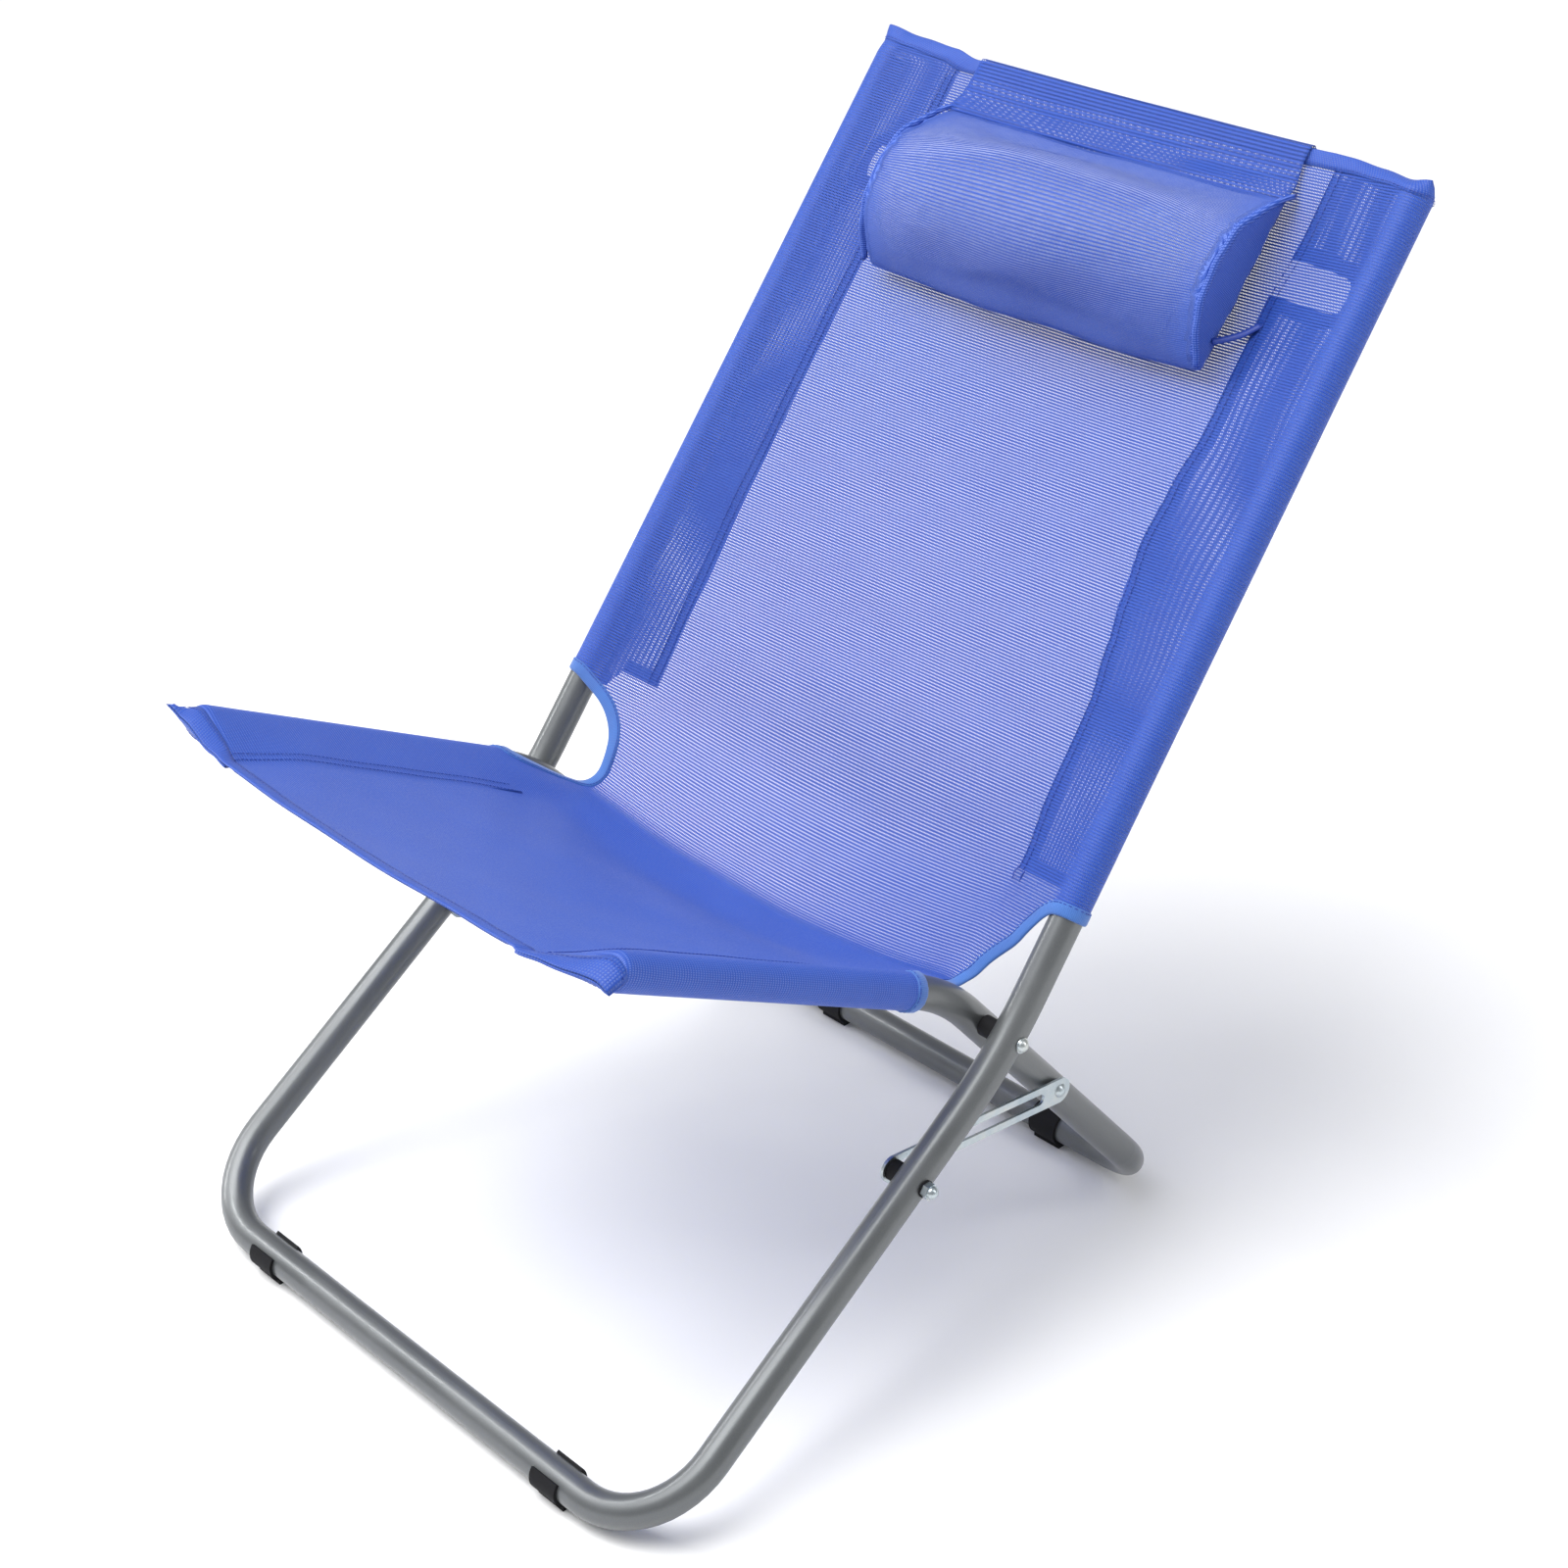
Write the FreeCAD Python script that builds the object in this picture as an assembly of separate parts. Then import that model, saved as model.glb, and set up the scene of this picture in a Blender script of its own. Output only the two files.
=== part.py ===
import FreeCAD, Part
import math
import os

# Folding beach chair: two bent-tube frames crossed like an X, a mesh sling and a pillow.
# Axes: +X to the sitter's left, +Y to the rear, +Z up. The origin is on the ground,
# under the middle of the chair's overall box. Side-view points below are (y, z), with y
# measured from the middle of the front ground bar. All lengths are millimetres.

# ---------------------------------------------------------------- driving dimensions
TUBE_D = 22.0
TUBE_WALL = 1.2
LEG_X = 238.5              # half spacing of the back frame's tubes
RAIL_X = 206.5             # half spacing of the seat frame's tubes
BAR_Z = 15.0               # height of both ground bars' centre lines

FRONT_BAR = (0.0, BAR_Z)   # side-view corners of the back frame's centre line
KNEE = (294.0, 221.0)
BACK_TOP = (673.8, 705.3)
REAR_BAR = (490.0, BAR_Z)  # side-view corners of the seat frame's centre line
SEAT_BEND = (278.5, 262.5)
SEAT_FRONT = (14.0, 396.5)

FRONT_CORNER_BEND = 62.0   # bend radii of the centre lines
KNEE_BEND = 300.0
REAR_CORNER_BEND = 55.0
SEAT_BEND_RADIUS = 150.0

ORIGIN_FROM_FRONT_BAR = 337.9   # the front ground bar lies this far in front of the origin

LINK_ARM = 107.0           # from the main pivot to each pin of the slotted link
PIN_D = 6.0
PIN_CLEARANCE = 0.05       # radial running clearance of pins in their holes
FACE_GAP = 0.1             # free play between flat faces that turn on each other

LINK_WIDTH = 18.0
LINK_THICK = 2.0
SLOT_WIDTH = 8.0
SLOT_START = 20.0          # slot's upper end, from the link's rivet
WASHER_THICK = 1.9
SPACER_D = 14.0
SLOT_NECK_D = 7.4          # plastic neck that runs in the link's slot
BOLT_PROUD = 6.2           # stop bolt's thread beyond the leg
NUT_WASHER = 1.0
NUT_CORNER_R = 5.6

CLIP_LENGTH = 24.0
CLIP_WALL = 2.2
CLIP_MOUTH_ANGLE = 105.0
CLIP_PAD_WIDTH = 13.0
FRONT_CLIP_X = 152.0
REAR_CLIP_X = 112.0

SLEEVE_GAP = 0.3           # cloth sleeve to tube
CLOTH = 1.2
BACK_MOUTH = 84.0          # lower end of a back sleeve, from the main pivot
SEAT_MOUTH = 264.0         # rear end of a seat sleeve, from the seat rail's front end
BINDING_WIDTH = 8.0
BINDING_THICK = 0.9
END_SETBACK = 8.0          # tubes stop this far short of the design points, inside the sleeves
BACK_TIP = 22.0            # flattened sleeve ends beyond the design points
SEAT_TIP = 18.0
BACK_SAG = 10.0
SEAT_SAG = 14.0
CREASE_GAP = 12.0          # each panel stops this far from the line where seat meets back
CREASE_HALF_WIDTH = 181.0
CUTOUT_TOP_HALF_WIDTH = 212.0

PILLOW_HALF_LENGTH = 158.0
PILLOW_LOW = 440.0         # places along the back rail, from the main pivot
PILLOW_HIGH = 568.0
PILLOW_DEPTH = 70.0
FLAP_HALF_WIDTH = 153.0
TIE_D = 2.0

TUBE_R = TUBE_D / 2.0
PIN_R = PIN_D / 2.0
SLEEVE_R = TUBE_R + SLEEVE_GAP + CLOTH
SIDES = {"left": 1.0, "right": -1.0}
X_AXIS = FreeCAD.Vector(1, 0, 0)


# ---------------------------------------------------------------- small helpers
def at(x, side_point):
    """A point in the model frame, from x and a side-view (y, z)."""
    return FreeCAD.Vector(x, side_point[0] - ORIGIN_FROM_FRONT_BAR, side_point[1])


def towards(start, end):
    """Unit side-view direction from one (y, z) to another."""
    length = math.dist(start, end)
    return ((end[0] - start[0]) / length, (end[1] - start[1]) / length)


def along(start, direction, distance):
    return (start[0] + direction[0] * distance, start[1] + direction[1] * distance)


def crossing(a, a_dir, b, b_dir):
    """Where two side-view lines cross."""
    cross = a_dir[0] * b_dir[1] - a_dir[1] * b_dir[0]
    reach = ((b[0] - a[0]) * b_dir[1] - (b[1] - a[1]) * b_dir[0]) / cross
    return along(a, a_dir, reach)


def vector(side_direction):
    return FreeCAD.Vector(0, side_direction[0], side_direction[1])


def one_solid(shapes):
    """Fuse touching shapes into one clean solid."""
    fused = shapes[0].fuse(shapes[1:]) if len(shapes) > 1 else shapes[0]
    solids = fused.removeSplitter().Solids
    if len(solids) != 1:
        raise ValueError(f"expected one solid, got {len(solids)}")
    return solids[0]


def rod_through(points, bends, radius):
    """A round rod along straight runs joined by tangent bends."""
    pieces = []
    start = points[0]
    for corner, after, bend in zip(points[1:-1], points[2:], bends):
        back = (start - corner).normalize()
        ahead = (after - corner).normalize()
        turn = math.pi - back.getAngle(ahead)
        tangent = bend * math.tan(turn / 2.0)
        bend_start = corner + back * tangent
        bend_end = corner + ahead * tangent
        middle = (back + ahead).normalize()
        centre = corner + middle * (bend / math.cos(turn / 2.0))
        axis = ahead.cross(back).normalize()
        run = bend_start - start
        pieces.append(Part.makeCylinder(radius, run.Length, start, run))
        disc = Part.Face(Part.Wire(Part.makeCircle(radius, bend_start, run)))
        pieces.append(disc.revolve(centre, axis, math.degrees(turn)))
        start = bend_end
    run = points[-1] - start
    pieces.append(Part.makeCylinder(radius, run.Length, start, run))
    return one_solid(pieces)


def x_rod(radius, x_start, x_end, side_point):
    """A cylinder along X between two x places, in either order."""
    low = min(x_start, x_end)
    return Part.makeCylinder(radius, abs(x_end - x_start), at(low, side_point), X_AXIS)


def dome_arc(base, radius, tip, side, side_point):
    """Arc of a rounded head's profile: from its rim, at x base, to its tip on the pin's axis."""
    height = abs(tip - base)
    ball_r = (radius * radius + height * height) / (2.0 * height)
    heading = 1.0 if tip > base else -1.0
    centre = tip - heading * ball_r
    half_angle = math.atan2(radius, heading * (base - centre)) / 2.0
    middle = centre + heading * ball_r * math.cos(half_angle)
    places = [(base, radius), (middle, ball_r * math.sin(half_angle)), (tip, 0.0)]
    return Part.Arc(*[profile_point(place, side, side_point) for place in places]).toShape()


def profile_point(place, side, side_point):
    return at(side * place[0], side_point) + FreeCAD.Vector(0, 0, place[1])


def turned(side, side_point, corners, inner_tip, outer_tip):
    """A pin turned about X: (x, radius) corners from inside outwards, with a rounded head at each end."""
    points = [profile_point(corner, side, side_point) for corner in corners]
    edges = [Part.makeLine(start, end) for start, end in zip(points[:-1], points[1:])]
    if inner_tip is None:
        inner_axis = (corners[0][0], 0.0)
        edges.insert(0, Part.makeLine(profile_point(inner_axis, side, side_point), points[0]))
    else:
        inner_axis = (inner_tip, 0.0)
        edges.insert(0, dome_arc(*corners[0], inner_tip, side, side_point))
    if outer_tip is None:
        outer_axis = (corners[-1][0], 0.0)
        edges.append(Part.makeLine(points[-1], profile_point(outer_axis, side, side_point)))
    else:
        outer_axis = (outer_tip, 0.0)
        edges.append(dome_arc(*corners[-1], outer_tip, side, side_point))
    axis_ends = [profile_point(place, side, side_point) for place in (outer_axis, inner_axis)]
    edges.append(Part.makeLine(*axis_ends))
    outline = Part.Wire(Part.__sortEdges__(edges))
    return Part.Face(outline).revolve(axis_ends[1], X_AXIS, 360.0)


# ---------------------------------------------------------------- derived geometry
leg_dir = towards(KNEE, FRONT_BAR)
back_dir = towards(KNEE, BACK_TOP)
rear_dir = towards(SEAT_BEND, REAR_BAR)
seat_dir = towards(SEAT_FRONT, SEAT_BEND)
back_normal = (-back_dir[1], back_dir[0])      # out of the back's front face
seat_normal = (-seat_dir[1], seat_dir[0])      # out of the seat's top face

pivot = crossing(KNEE, back_dir, SEAT_BEND, rear_dir)
crease = crossing(SEAT_FRONT, seat_dir, KNEE, back_dir)
back_tube_top = along(BACK_TOP, back_dir, -END_SETBACK)
seat_tube_front = along(SEAT_FRONT, seat_dir, END_SETBACK)
back_length = math.dist(pivot, BACK_TOP)
crease_from_pivot = math.dist(pivot, crease)
crease_from_front = math.dist(SEAT_FRONT, crease)

# The link's two pins are both LINK_ARM from the main pivot, one down the leg, one down the rail.
knee_to_pivot = math.dist(KNEE, pivot)
knee_turn = leg_dir[0] * back_dir[0] + leg_dir[1] * back_dir[1]
leg_reach = knee_to_pivot * knee_turn
leg_reach += math.sqrt(LINK_ARM ** 2 - knee_to_pivot ** 2 * (1.0 - knee_turn ** 2))
stop_pin = along(KNEE, leg_dir, leg_reach)
link_pin = along(pivot, rear_dir, LINK_ARM)
link_length = math.dist(link_pin, stop_pin)
link_dir = towards(link_pin, stop_pin)

leg_outer_x = LEG_X + TUBE_R
rail_outer_x = RAIL_X + TUBE_R
rail_inner_x = RAIL_X - TUBE_R
link_inner_x = rail_outer_x + WASHER_THICK + FACE_GAP
link_outer_x = link_inner_x + LINK_THICK


# ---------------------------------------------------------------- the two tube frames
def back_frame_points():
    right_side = [at(-LEG_X, back_tube_top), at(-LEG_X, KNEE), at(-LEG_X, FRONT_BAR)]
    left_side = [at(LEG_X, FRONT_BAR), at(LEG_X, KNEE), at(LEG_X, back_tube_top)]
    return right_side + left_side


def seat_frame_points():
    right_side = [at(-RAIL_X, seat_tube_front), at(-RAIL_X, SEAT_BEND), at(-RAIL_X, REAR_BAR)]
    left_side = [at(RAIL_X, REAR_BAR), at(RAIL_X, SEAT_BEND), at(RAIL_X, seat_tube_front)]
    return right_side + left_side


BACK_BENDS = [KNEE_BEND, FRONT_CORNER_BEND, FRONT_CORNER_BEND, KNEE_BEND]
SEAT_BENDS = [SEAT_BEND_RADIUS, REAR_CORNER_BEND, REAR_CORNER_BEND, SEAT_BEND_RADIUS]


def pin_holes(half_spacing, side_points):
    """Cross holes for the pins, on both sides of a frame."""
    holes = []
    for side in SIDES.values():
        for side_point in side_points:
            inner = side * (half_spacing - TUBE_D)
            outer = side * (half_spacing + TUBE_D)
            holes.append(x_rod(PIN_R + PIN_CLEARANCE, inner, outer, side_point))
    return holes


def tube_frame(points, bends, half_spacing, hole_points):
    outer = rod_through(points, bends, TUBE_R)
    bore = rod_through(points, bends, TUBE_R - TUBE_WALL)
    return outer.cut(bore).cut(pin_holes(half_spacing, hole_points))


def tube_plug(end_point, x, direction):
    """Plastic plug: a disc on the tube's open end and a stem inside it."""
    head_thick = 2.5
    stem_length = 18.0
    stem_r = TUBE_R - TUBE_WALL - 0.1
    base = at(x, end_point)
    head = Part.makeCylinder(TUBE_R, head_thick, base, vector(direction))
    stem = Part.makeCylinder(stem_r, stem_length, base, vector(direction) * -1.0)
    rim = [edge for edge in head.Edges if edge.isClosed() and (edge.CenterOfMass - base).Length > 1.0]
    return one_solid([head.makeFillet(1.5, rim), stem])


# ---------------------------------------------------------------- ground clips
def ground_clip(x, bar_point, mouth_tilt):
    """C-shaped clip on a ground bar with a flat pad below; mouth_tilt leans its mouth rearwards."""
    outer_r = TUBE_R + CLIP_WALL
    low_x = x - CLIP_LENGTH / 2.0
    high_x = x + CLIP_LENGTH / 2.0
    ring = x_rod(outer_r, low_x, high_x, bar_point)
    centre = at(low_x, bar_point)
    pad_corner = FreeCAD.Vector(low_x, centre.y - CLIP_PAD_WIDTH / 2.0, 0.0)
    pad = Part.makeBox(CLIP_LENGTH, CLIP_PAD_WIDTH, BAR_Z, pad_corner)
    body = one_solid([ring, pad])
    bore = x_rod(TUBE_R + PIN_CLEARANCE, low_x - 1.0, high_x + 1.0, bar_point)
    mouth_points = [centre - X_AXIS]
    half_mouth = math.radians(CLIP_MOUTH_ANGLE / 2.0)
    for angle in (-half_mouth, 0.0, half_mouth):
        lean = math.radians(mouth_tilt) + angle
        reach = FreeCAD.Vector(0, math.sin(lean), math.cos(lean)) * (2.0 * TUBE_D)
        mouth_points.append(centre - X_AXIS + reach)
    mouth_points.append(mouth_points[0])
    mouth = Part.Face(Part.makePolygon(mouth_points)).extrude(X_AXIS * (CLIP_LENGTH + 2.0))
    return body.cut([bore, mouth]).Solids[0]


# ---------------------------------------------------------------- pivots and links
def saddle_cut(shape, points, bends):
    """Hollow the end of a spacer so that it sits on a round tube."""
    return shape.cut(rod_through(points, bends, TUBE_R + PIN_CLEARANCE)).Solids[0]


def pivot_spacer(side):
    blank = x_rod(SPACER_D / 2.0, side * (rail_outer_x + FACE_GAP), side * (LEG_X - 3.0), pivot)
    bore = x_rod(PIN_R + PIN_CLEARANCE, side * RAIL_X, side * LEG_X, pivot)
    return saddle_cut(blank.cut(bore), back_frame_points(), BACK_BENDS)


def pivot_rivet(side):
    """Main pivot pin: domed head outside the leg, wide head inside the seat rail."""
    inner = rail_inner_x - FACE_GAP
    collar = leg_outer_x + 1.0
    corners = [(inner, 6.0), (inner, PIN_R), (leg_outer_x, PIN_R)]
    corners += [(leg_outer_x, 5.2), (collar, 5.2), (collar, 4.6)]
    return turned(side, pivot, corners, inner - 2.6, collar + 3.4)


def stop_spacer(side):
    """Black spacer between leg and link, with a neck that runs in the link's slot."""
    body_start = side * (link_outer_x + FACE_GAP)
    body = x_rod(SPACER_D / 2.0, body_start, side * (LEG_X - 3.0), stop_pin)
    neck = x_rod(SLOT_NECK_D / 2.0, side * (link_inner_x - FACE_GAP), body_start, stop_pin)
    bore = x_rod(PIN_R + PIN_CLEARANCE, side * RAIL_X, side * LEG_X, stop_pin)
    return saddle_cut(one_solid([body, neck]).cut(bore), back_frame_points(), BACK_BENDS)


def stop_bolt(side):
    """Bolt through the leg and the link's slot: domed head inside, thread end outside."""
    head_face = link_inner_x - FACE_GAP
    corners = [(head_face, 5.6), (head_face, PIN_R), (leg_outer_x + BOLT_PROUD, PIN_R)]
    return turned(side, stop_pin, corners, head_face - 2.4, None)


def stop_washer(side):
    disc = x_rod(5.8, side * leg_outer_x, side * (leg_outer_x + NUT_WASHER), stop_pin)
    return disc.cut(x_rod(PIN_R + PIN_CLEARANCE, side * LEG_X, side * (LEG_X + TUBE_D), stop_pin))


def stop_cap_nut(side):
    """Hexagon cap nut on the bolt's outer end: a round cap on a hexagon cut from a bar."""
    start = leg_outer_x + NUT_WASHER
    hex_end = start + 4.6
    socket_end = leg_outer_x + BOLT_PROUD + 0.2
    cap = turned(side, stop_pin, [(start, NUT_CORNER_R), (hex_end, NUT_CORNER_R), (hex_end, 4.4)],
                 None, hex_end + 4.2)
    corners = []
    for step in range(7):
        angle = math.radians(60.0 * step)
        offset = FreeCAD.Vector(0, math.cos(angle), math.sin(angle)) * NUT_CORNER_R
        corners.append(at(side * start, stop_pin) + offset)
    prism = Part.Face(Part.makePolygon(corners)).extrude(X_AXIS * (side * TUBE_D))
    socket = x_rod(PIN_R + PIN_CLEARANCE, side * (start - 1.0), side * socket_end, stop_pin)
    return cap.common(prism).cut(socket).Solids[0]


def link_washer(side):
    disc = x_rod(SPACER_D / 2.0, side * rail_outer_x, side * (rail_outer_x + WASHER_THICK), link_pin)
    return disc.cut(x_rod(PIN_R + PIN_CLEARANCE, side * RAIL_X, side * LEG_X, link_pin))


def link_rivet(side):
    """Rivet that holds the link on the outer face of the seat rail."""
    seat = link_outer_x + FACE_GAP
    corners = [(rail_inner_x, 5.4), (rail_inner_x, PIN_R), (seat, PIN_R), (seat, 4.8)]
    return turned(side, link_pin, corners, rail_inner_x - 2.4, seat + 2.8)


def link_bar(radius, first, last, x_low, x_high):
    """A round-ended bar in the link's plane, between two places along the link."""
    start = along(link_pin, link_dir, first)
    end = along(link_pin, link_dir, last)
    normal = FreeCAD.Vector(0, -link_dir[1], link_dir[0]) * radius
    corners = [at(x_low, start) + normal, at(x_low, end) + normal]
    corners += [at(x_low, end) - normal, at(x_low, start) - normal]
    corners.append(corners[0])
    middle = Part.Face(Part.makePolygon(corners)).extrude(X_AXIS * (x_high - x_low))
    ends = [x_rod(radius, x_low, x_high, start), x_rod(radius, x_low, x_high, end)]
    return one_solid([middle] + ends)


def slotted_link(side):
    """Flat steel link: pinned on the seat rail, its long slot runs on the leg's stop bolt."""
    faces = sorted([side * link_inner_x, side * link_outer_x])
    plate = link_bar(LINK_WIDTH / 2.0, 0.0, link_length, faces[0], faces[1])
    slot = link_bar(SLOT_WIDTH / 2.0, SLOT_START, link_length, faces[0] - 1.0, faces[1] + 1.0)
    hole = x_rod(PIN_R + PIN_CLEARANCE, faces[0] - 1.0, faces[1] + 1.0, link_pin)
    return plate.cut([slot, hole]).Solids[0]


# ---------------------------------------------------------------- cloth
def sleeve(x, start, direction, length, tip, tip_normal):
    """Cloth sleeve round a tube: a thin pipe whose end is pressed flat and sewn shut."""
    origin = at(x, start)
    heading = vector(direction)
    cloth = Part.makeCylinder(SLEEVE_R, length, origin, heading)
    bore = Part.makeCylinder(SLEEVE_R - CLOTH, length - CLOTH, origin, heading)
    half_width = SLEEVE_R
    base = at(x, along(start, direction, length - CLOTH))
    up = vector(tip_normal) * CLOTH
    corners = [base - X_AXIS * half_width - up, base + X_AXIS * half_width - up]
    corners += [base + X_AXIS * half_width + up, base - X_AXIS * half_width + up]
    corners.append(corners[0])
    flat = Part.Face(Part.makePolygon(corners)).extrude(heading * (tip + CLOTH))
    return one_solid([cloth.cut(bore), flat])


def mouth_binding(x, centre, direction):
    """Tape sewn round the mouth of a sleeve."""
    origin = at(x, centre)
    ring = Part.makeCylinder(SLEEVE_R + BINDING_THICK, BINDING_WIDTH, origin, vector(direction))
    return ring.cut(Part.makeCylinder(SLEEVE_R, BINDING_WIDTH, origin, vector(direction)))


def sling_panel(origin, direction, normal, outline, half_width, sag):
    """Sheet between two rails that sags between them, trimmed to an (x, distance) outline."""
    first = min(distance for _, distance in outline)
    last = max(distance for _, distance in outline)
    heading = vector(direction)
    out = vector(normal)
    base = at(0.0, along(origin, direction, first))
    edge = X_AXIS * half_width
    upper = Part.Arc(base - edge, base - out * sag, base + edge).toShape()
    thick = out * CLOTH
    lower = Part.Arc(base + edge - thick, base - out * sag - thick, base - edge - thick).toShape()
    right_end = Part.makeLine(base + edge, base + edge - thick)
    left_end = Part.makeLine(base - edge - thick, base - edge)
    section = Part.Face(Part.Wire([upper, right_end, lower, left_end]))
    sheet = section.extrude(heading * (last - first))
    corners = []
    for x, distance in outline:
        corners.append(at(x, along(origin, direction, distance)) - out * (2.0 * sag))
    corners.append(corners[0])
    trim = Part.Face(Part.makePolygon(corners)).extrude(out * (4.0 * sag))
    return sheet.common(trim).Solids[0]


def mirrored_outline(right_half):
    """Close an outline given by its +X half, listed from front or bottom upwards."""
    return right_half + [(-x, distance) for x, distance in reversed(right_half)]


SEAM_GAP = BINDING_THICK + SLEEVE_GAP
PANEL_EDGE = LEG_X - SLEEVE_R - SEAM_GAP
SEAT_EDGE = RAIL_X - SLEEVE_R - SEAM_GAP


def back_panel():
    low = crease_from_pivot + CREASE_GAP
    outline = mirrored_outline([
        (CREASE_HALF_WIDTH, low),
        (CREASE_HALF_WIDTH + 8.0, 50.0),
        (CUTOUT_TOP_HALF_WIDTH, BACK_MOUTH - 4.0),
        (PANEL_EDGE, BACK_MOUTH),
        (PANEL_EDGE, back_length + 8.0),
    ])
    return sling_panel(pivot, back_dir, back_normal, outline, PANEL_EDGE, BACK_SAG)


def seat_panel():
    outline = mirrored_outline([
        (SEAT_EDGE, -4.0),
        (SEAT_EDGE, SEAT_MOUTH),
        (CREASE_HALF_WIDTH, crease_from_front - CREASE_GAP),
    ])
    return sling_panel(SEAT_FRONT, seat_dir, seat_normal, outline, SEAT_EDGE, SEAT_SAG)


# ---------------------------------------------------------------- pillow
def on_back(distance, lift):
    """Side-view point at a distance up the back rail, lifted off the back's front face."""
    return along(along(pivot, back_dir, distance), back_normal, lift)


def pillow():
    """D-shaped bolster: flat side on the cloth, round side towards the neck."""
    lift = 3.0
    middle = (PILLOW_LOW + PILLOW_HIGH) / 2.0
    x = -PILLOW_HALF_LENGTH
    low = at(x, on_back(PILLOW_LOW, lift))
    high = at(x, on_back(PILLOW_HIGH, lift))
    crown = at(x, on_back(middle, PILLOW_DEPTH))
    section = Part.Face(Part.Wire([Part.Arc(low, crown, high).toShape(), Part.makeLine(high, low)]))
    return section.extrude(X_AXIS * (2.0 * PILLOW_HALF_LENGTH))


def pillow_flap():
    """Cloth flap that the pillow hangs from, laid over the top edge of the back."""
    lift = 1.0
    start = PILLOW_HIGH + 1.0
    base = at(-FLAP_HALF_WIDTH, on_back(start, lift))
    flap_length = back_length + 8.0 - start
    corners = [base, base + vector(back_dir) * flap_length]
    corners += [corners[1] + vector(back_normal) * CLOTH, base + vector(back_normal) * CLOTH]
    corners.append(base)
    return Part.Face(Part.makePolygon(corners)).extrude(X_AXIS * (2.0 * FLAP_HALF_WIDTH))


def pillow_tie(side):
    """Elastic tie from the pillow's lower end to the cloth beside it."""
    start = at(side * (PILLOW_HALF_LENGTH + 1.5), on_back(PILLOW_LOW + 22.0, 12.0))
    end = at(side * (PILLOW_HALF_LENGTH + 26.0), on_back(PILLOW_LOW + 46.0, 1.5))
    run = end - start
    return Part.makeCylinder(TIE_D / 2.0, run.Length, start, run)


# ---------------------------------------------------------------- the whole chair
def build():
    shapes = {
        "back_frame_tube": tube_frame(back_frame_points(), BACK_BENDS, LEG_X, [pivot, stop_pin]),
        "seat_frame_tube": tube_frame(seat_frame_points(), SEAT_BENDS, RAIL_X, [pivot, link_pin]),
        "back_panel": back_panel(),
        "seat_panel": seat_panel(),
        "pillow": pillow(),
        "pillow_flap": pillow_flap(),
    }
    back_sleeve_start = along(pivot, back_dir, BACK_MOUTH)
    back_sleeve_length = back_length - BACK_MOUTH + 5.0
    seat_sleeve_start = along(SEAT_FRONT, seat_dir, SEAT_MOUTH)
    seat_sleeve_length = SEAT_MOUTH + 5.0
    forwards = (-seat_dir[0], -seat_dir[1])
    for name, side in SIDES.items():
        leg = side * LEG_X
        rail = side * RAIL_X
        shapes["back_plug_" + name] = tube_plug(back_tube_top, leg, back_dir)
        shapes["seat_plug_" + name] = tube_plug(seat_tube_front, rail, forwards)
        shapes["front_foot_" + name] = ground_clip(side * FRONT_CLIP_X, FRONT_BAR, 0.0)
        shapes["rear_foot_" + name] = ground_clip(side * REAR_CLIP_X, REAR_BAR, 60.0)
        shapes["pivot_spacer_" + name] = pivot_spacer(side)
        shapes["pivot_rivet_" + name] = pivot_rivet(side)
        shapes["stop_spacer_" + name] = stop_spacer(side)
        shapes["stop_bolt_" + name] = stop_bolt(side)
        shapes["stop_washer_" + name] = stop_washer(side)
        shapes["stop_cap_nut_" + name] = stop_cap_nut(side)
        shapes["link_washer_" + name] = link_washer(side)
        shapes["link_rivet_" + name] = link_rivet(side)
        shapes["slotted_link_" + name] = slotted_link(side)
        shapes["back_sleeve_" + name] = sleeve(
            leg, back_sleeve_start, back_dir, back_sleeve_length, BACK_TIP, back_normal)
        shapes["seat_sleeve_" + name] = sleeve(
            rail, seat_sleeve_start, forwards, seat_sleeve_length, SEAT_TIP, seat_normal)
        shapes["back_binding_" + name] = mouth_binding(leg, back_sleeve_start, back_dir)
        shapes["seat_binding_" + name] = mouth_binding(rail, seat_sleeve_start, forwards)
        shapes["pillow_tie_" + name] = pillow_tie(side)
    return shapes


def main():
    os.makedirs("parts", exist_ok=True)
    shapes = build()
    box = FreeCAD.BoundBox()
    for name, shape in shapes.items():
        if not shape.isValid():
            raise ValueError(name + " is not a valid solid")
        box.add(shape.BoundBox)
        shape.exportStep("parts/" + name + ".step")
    print(f"{len(shapes)} nodes, pivot {pivot}, stop pin {stop_pin}, link pin {link_pin}")
    print(f"link length {link_length:.2f}, overall x {box.XLength:.1f} y {box.YMin:.1f} {box.YMax:.1f}")
    print(f"z {box.ZMin:.2f} {box.ZMax:.1f}")


main()
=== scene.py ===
import math

import bmesh
import bpy
import numpy as np
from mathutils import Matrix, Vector
from mathutils.geometry import delaunay_2d_cdt


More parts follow.
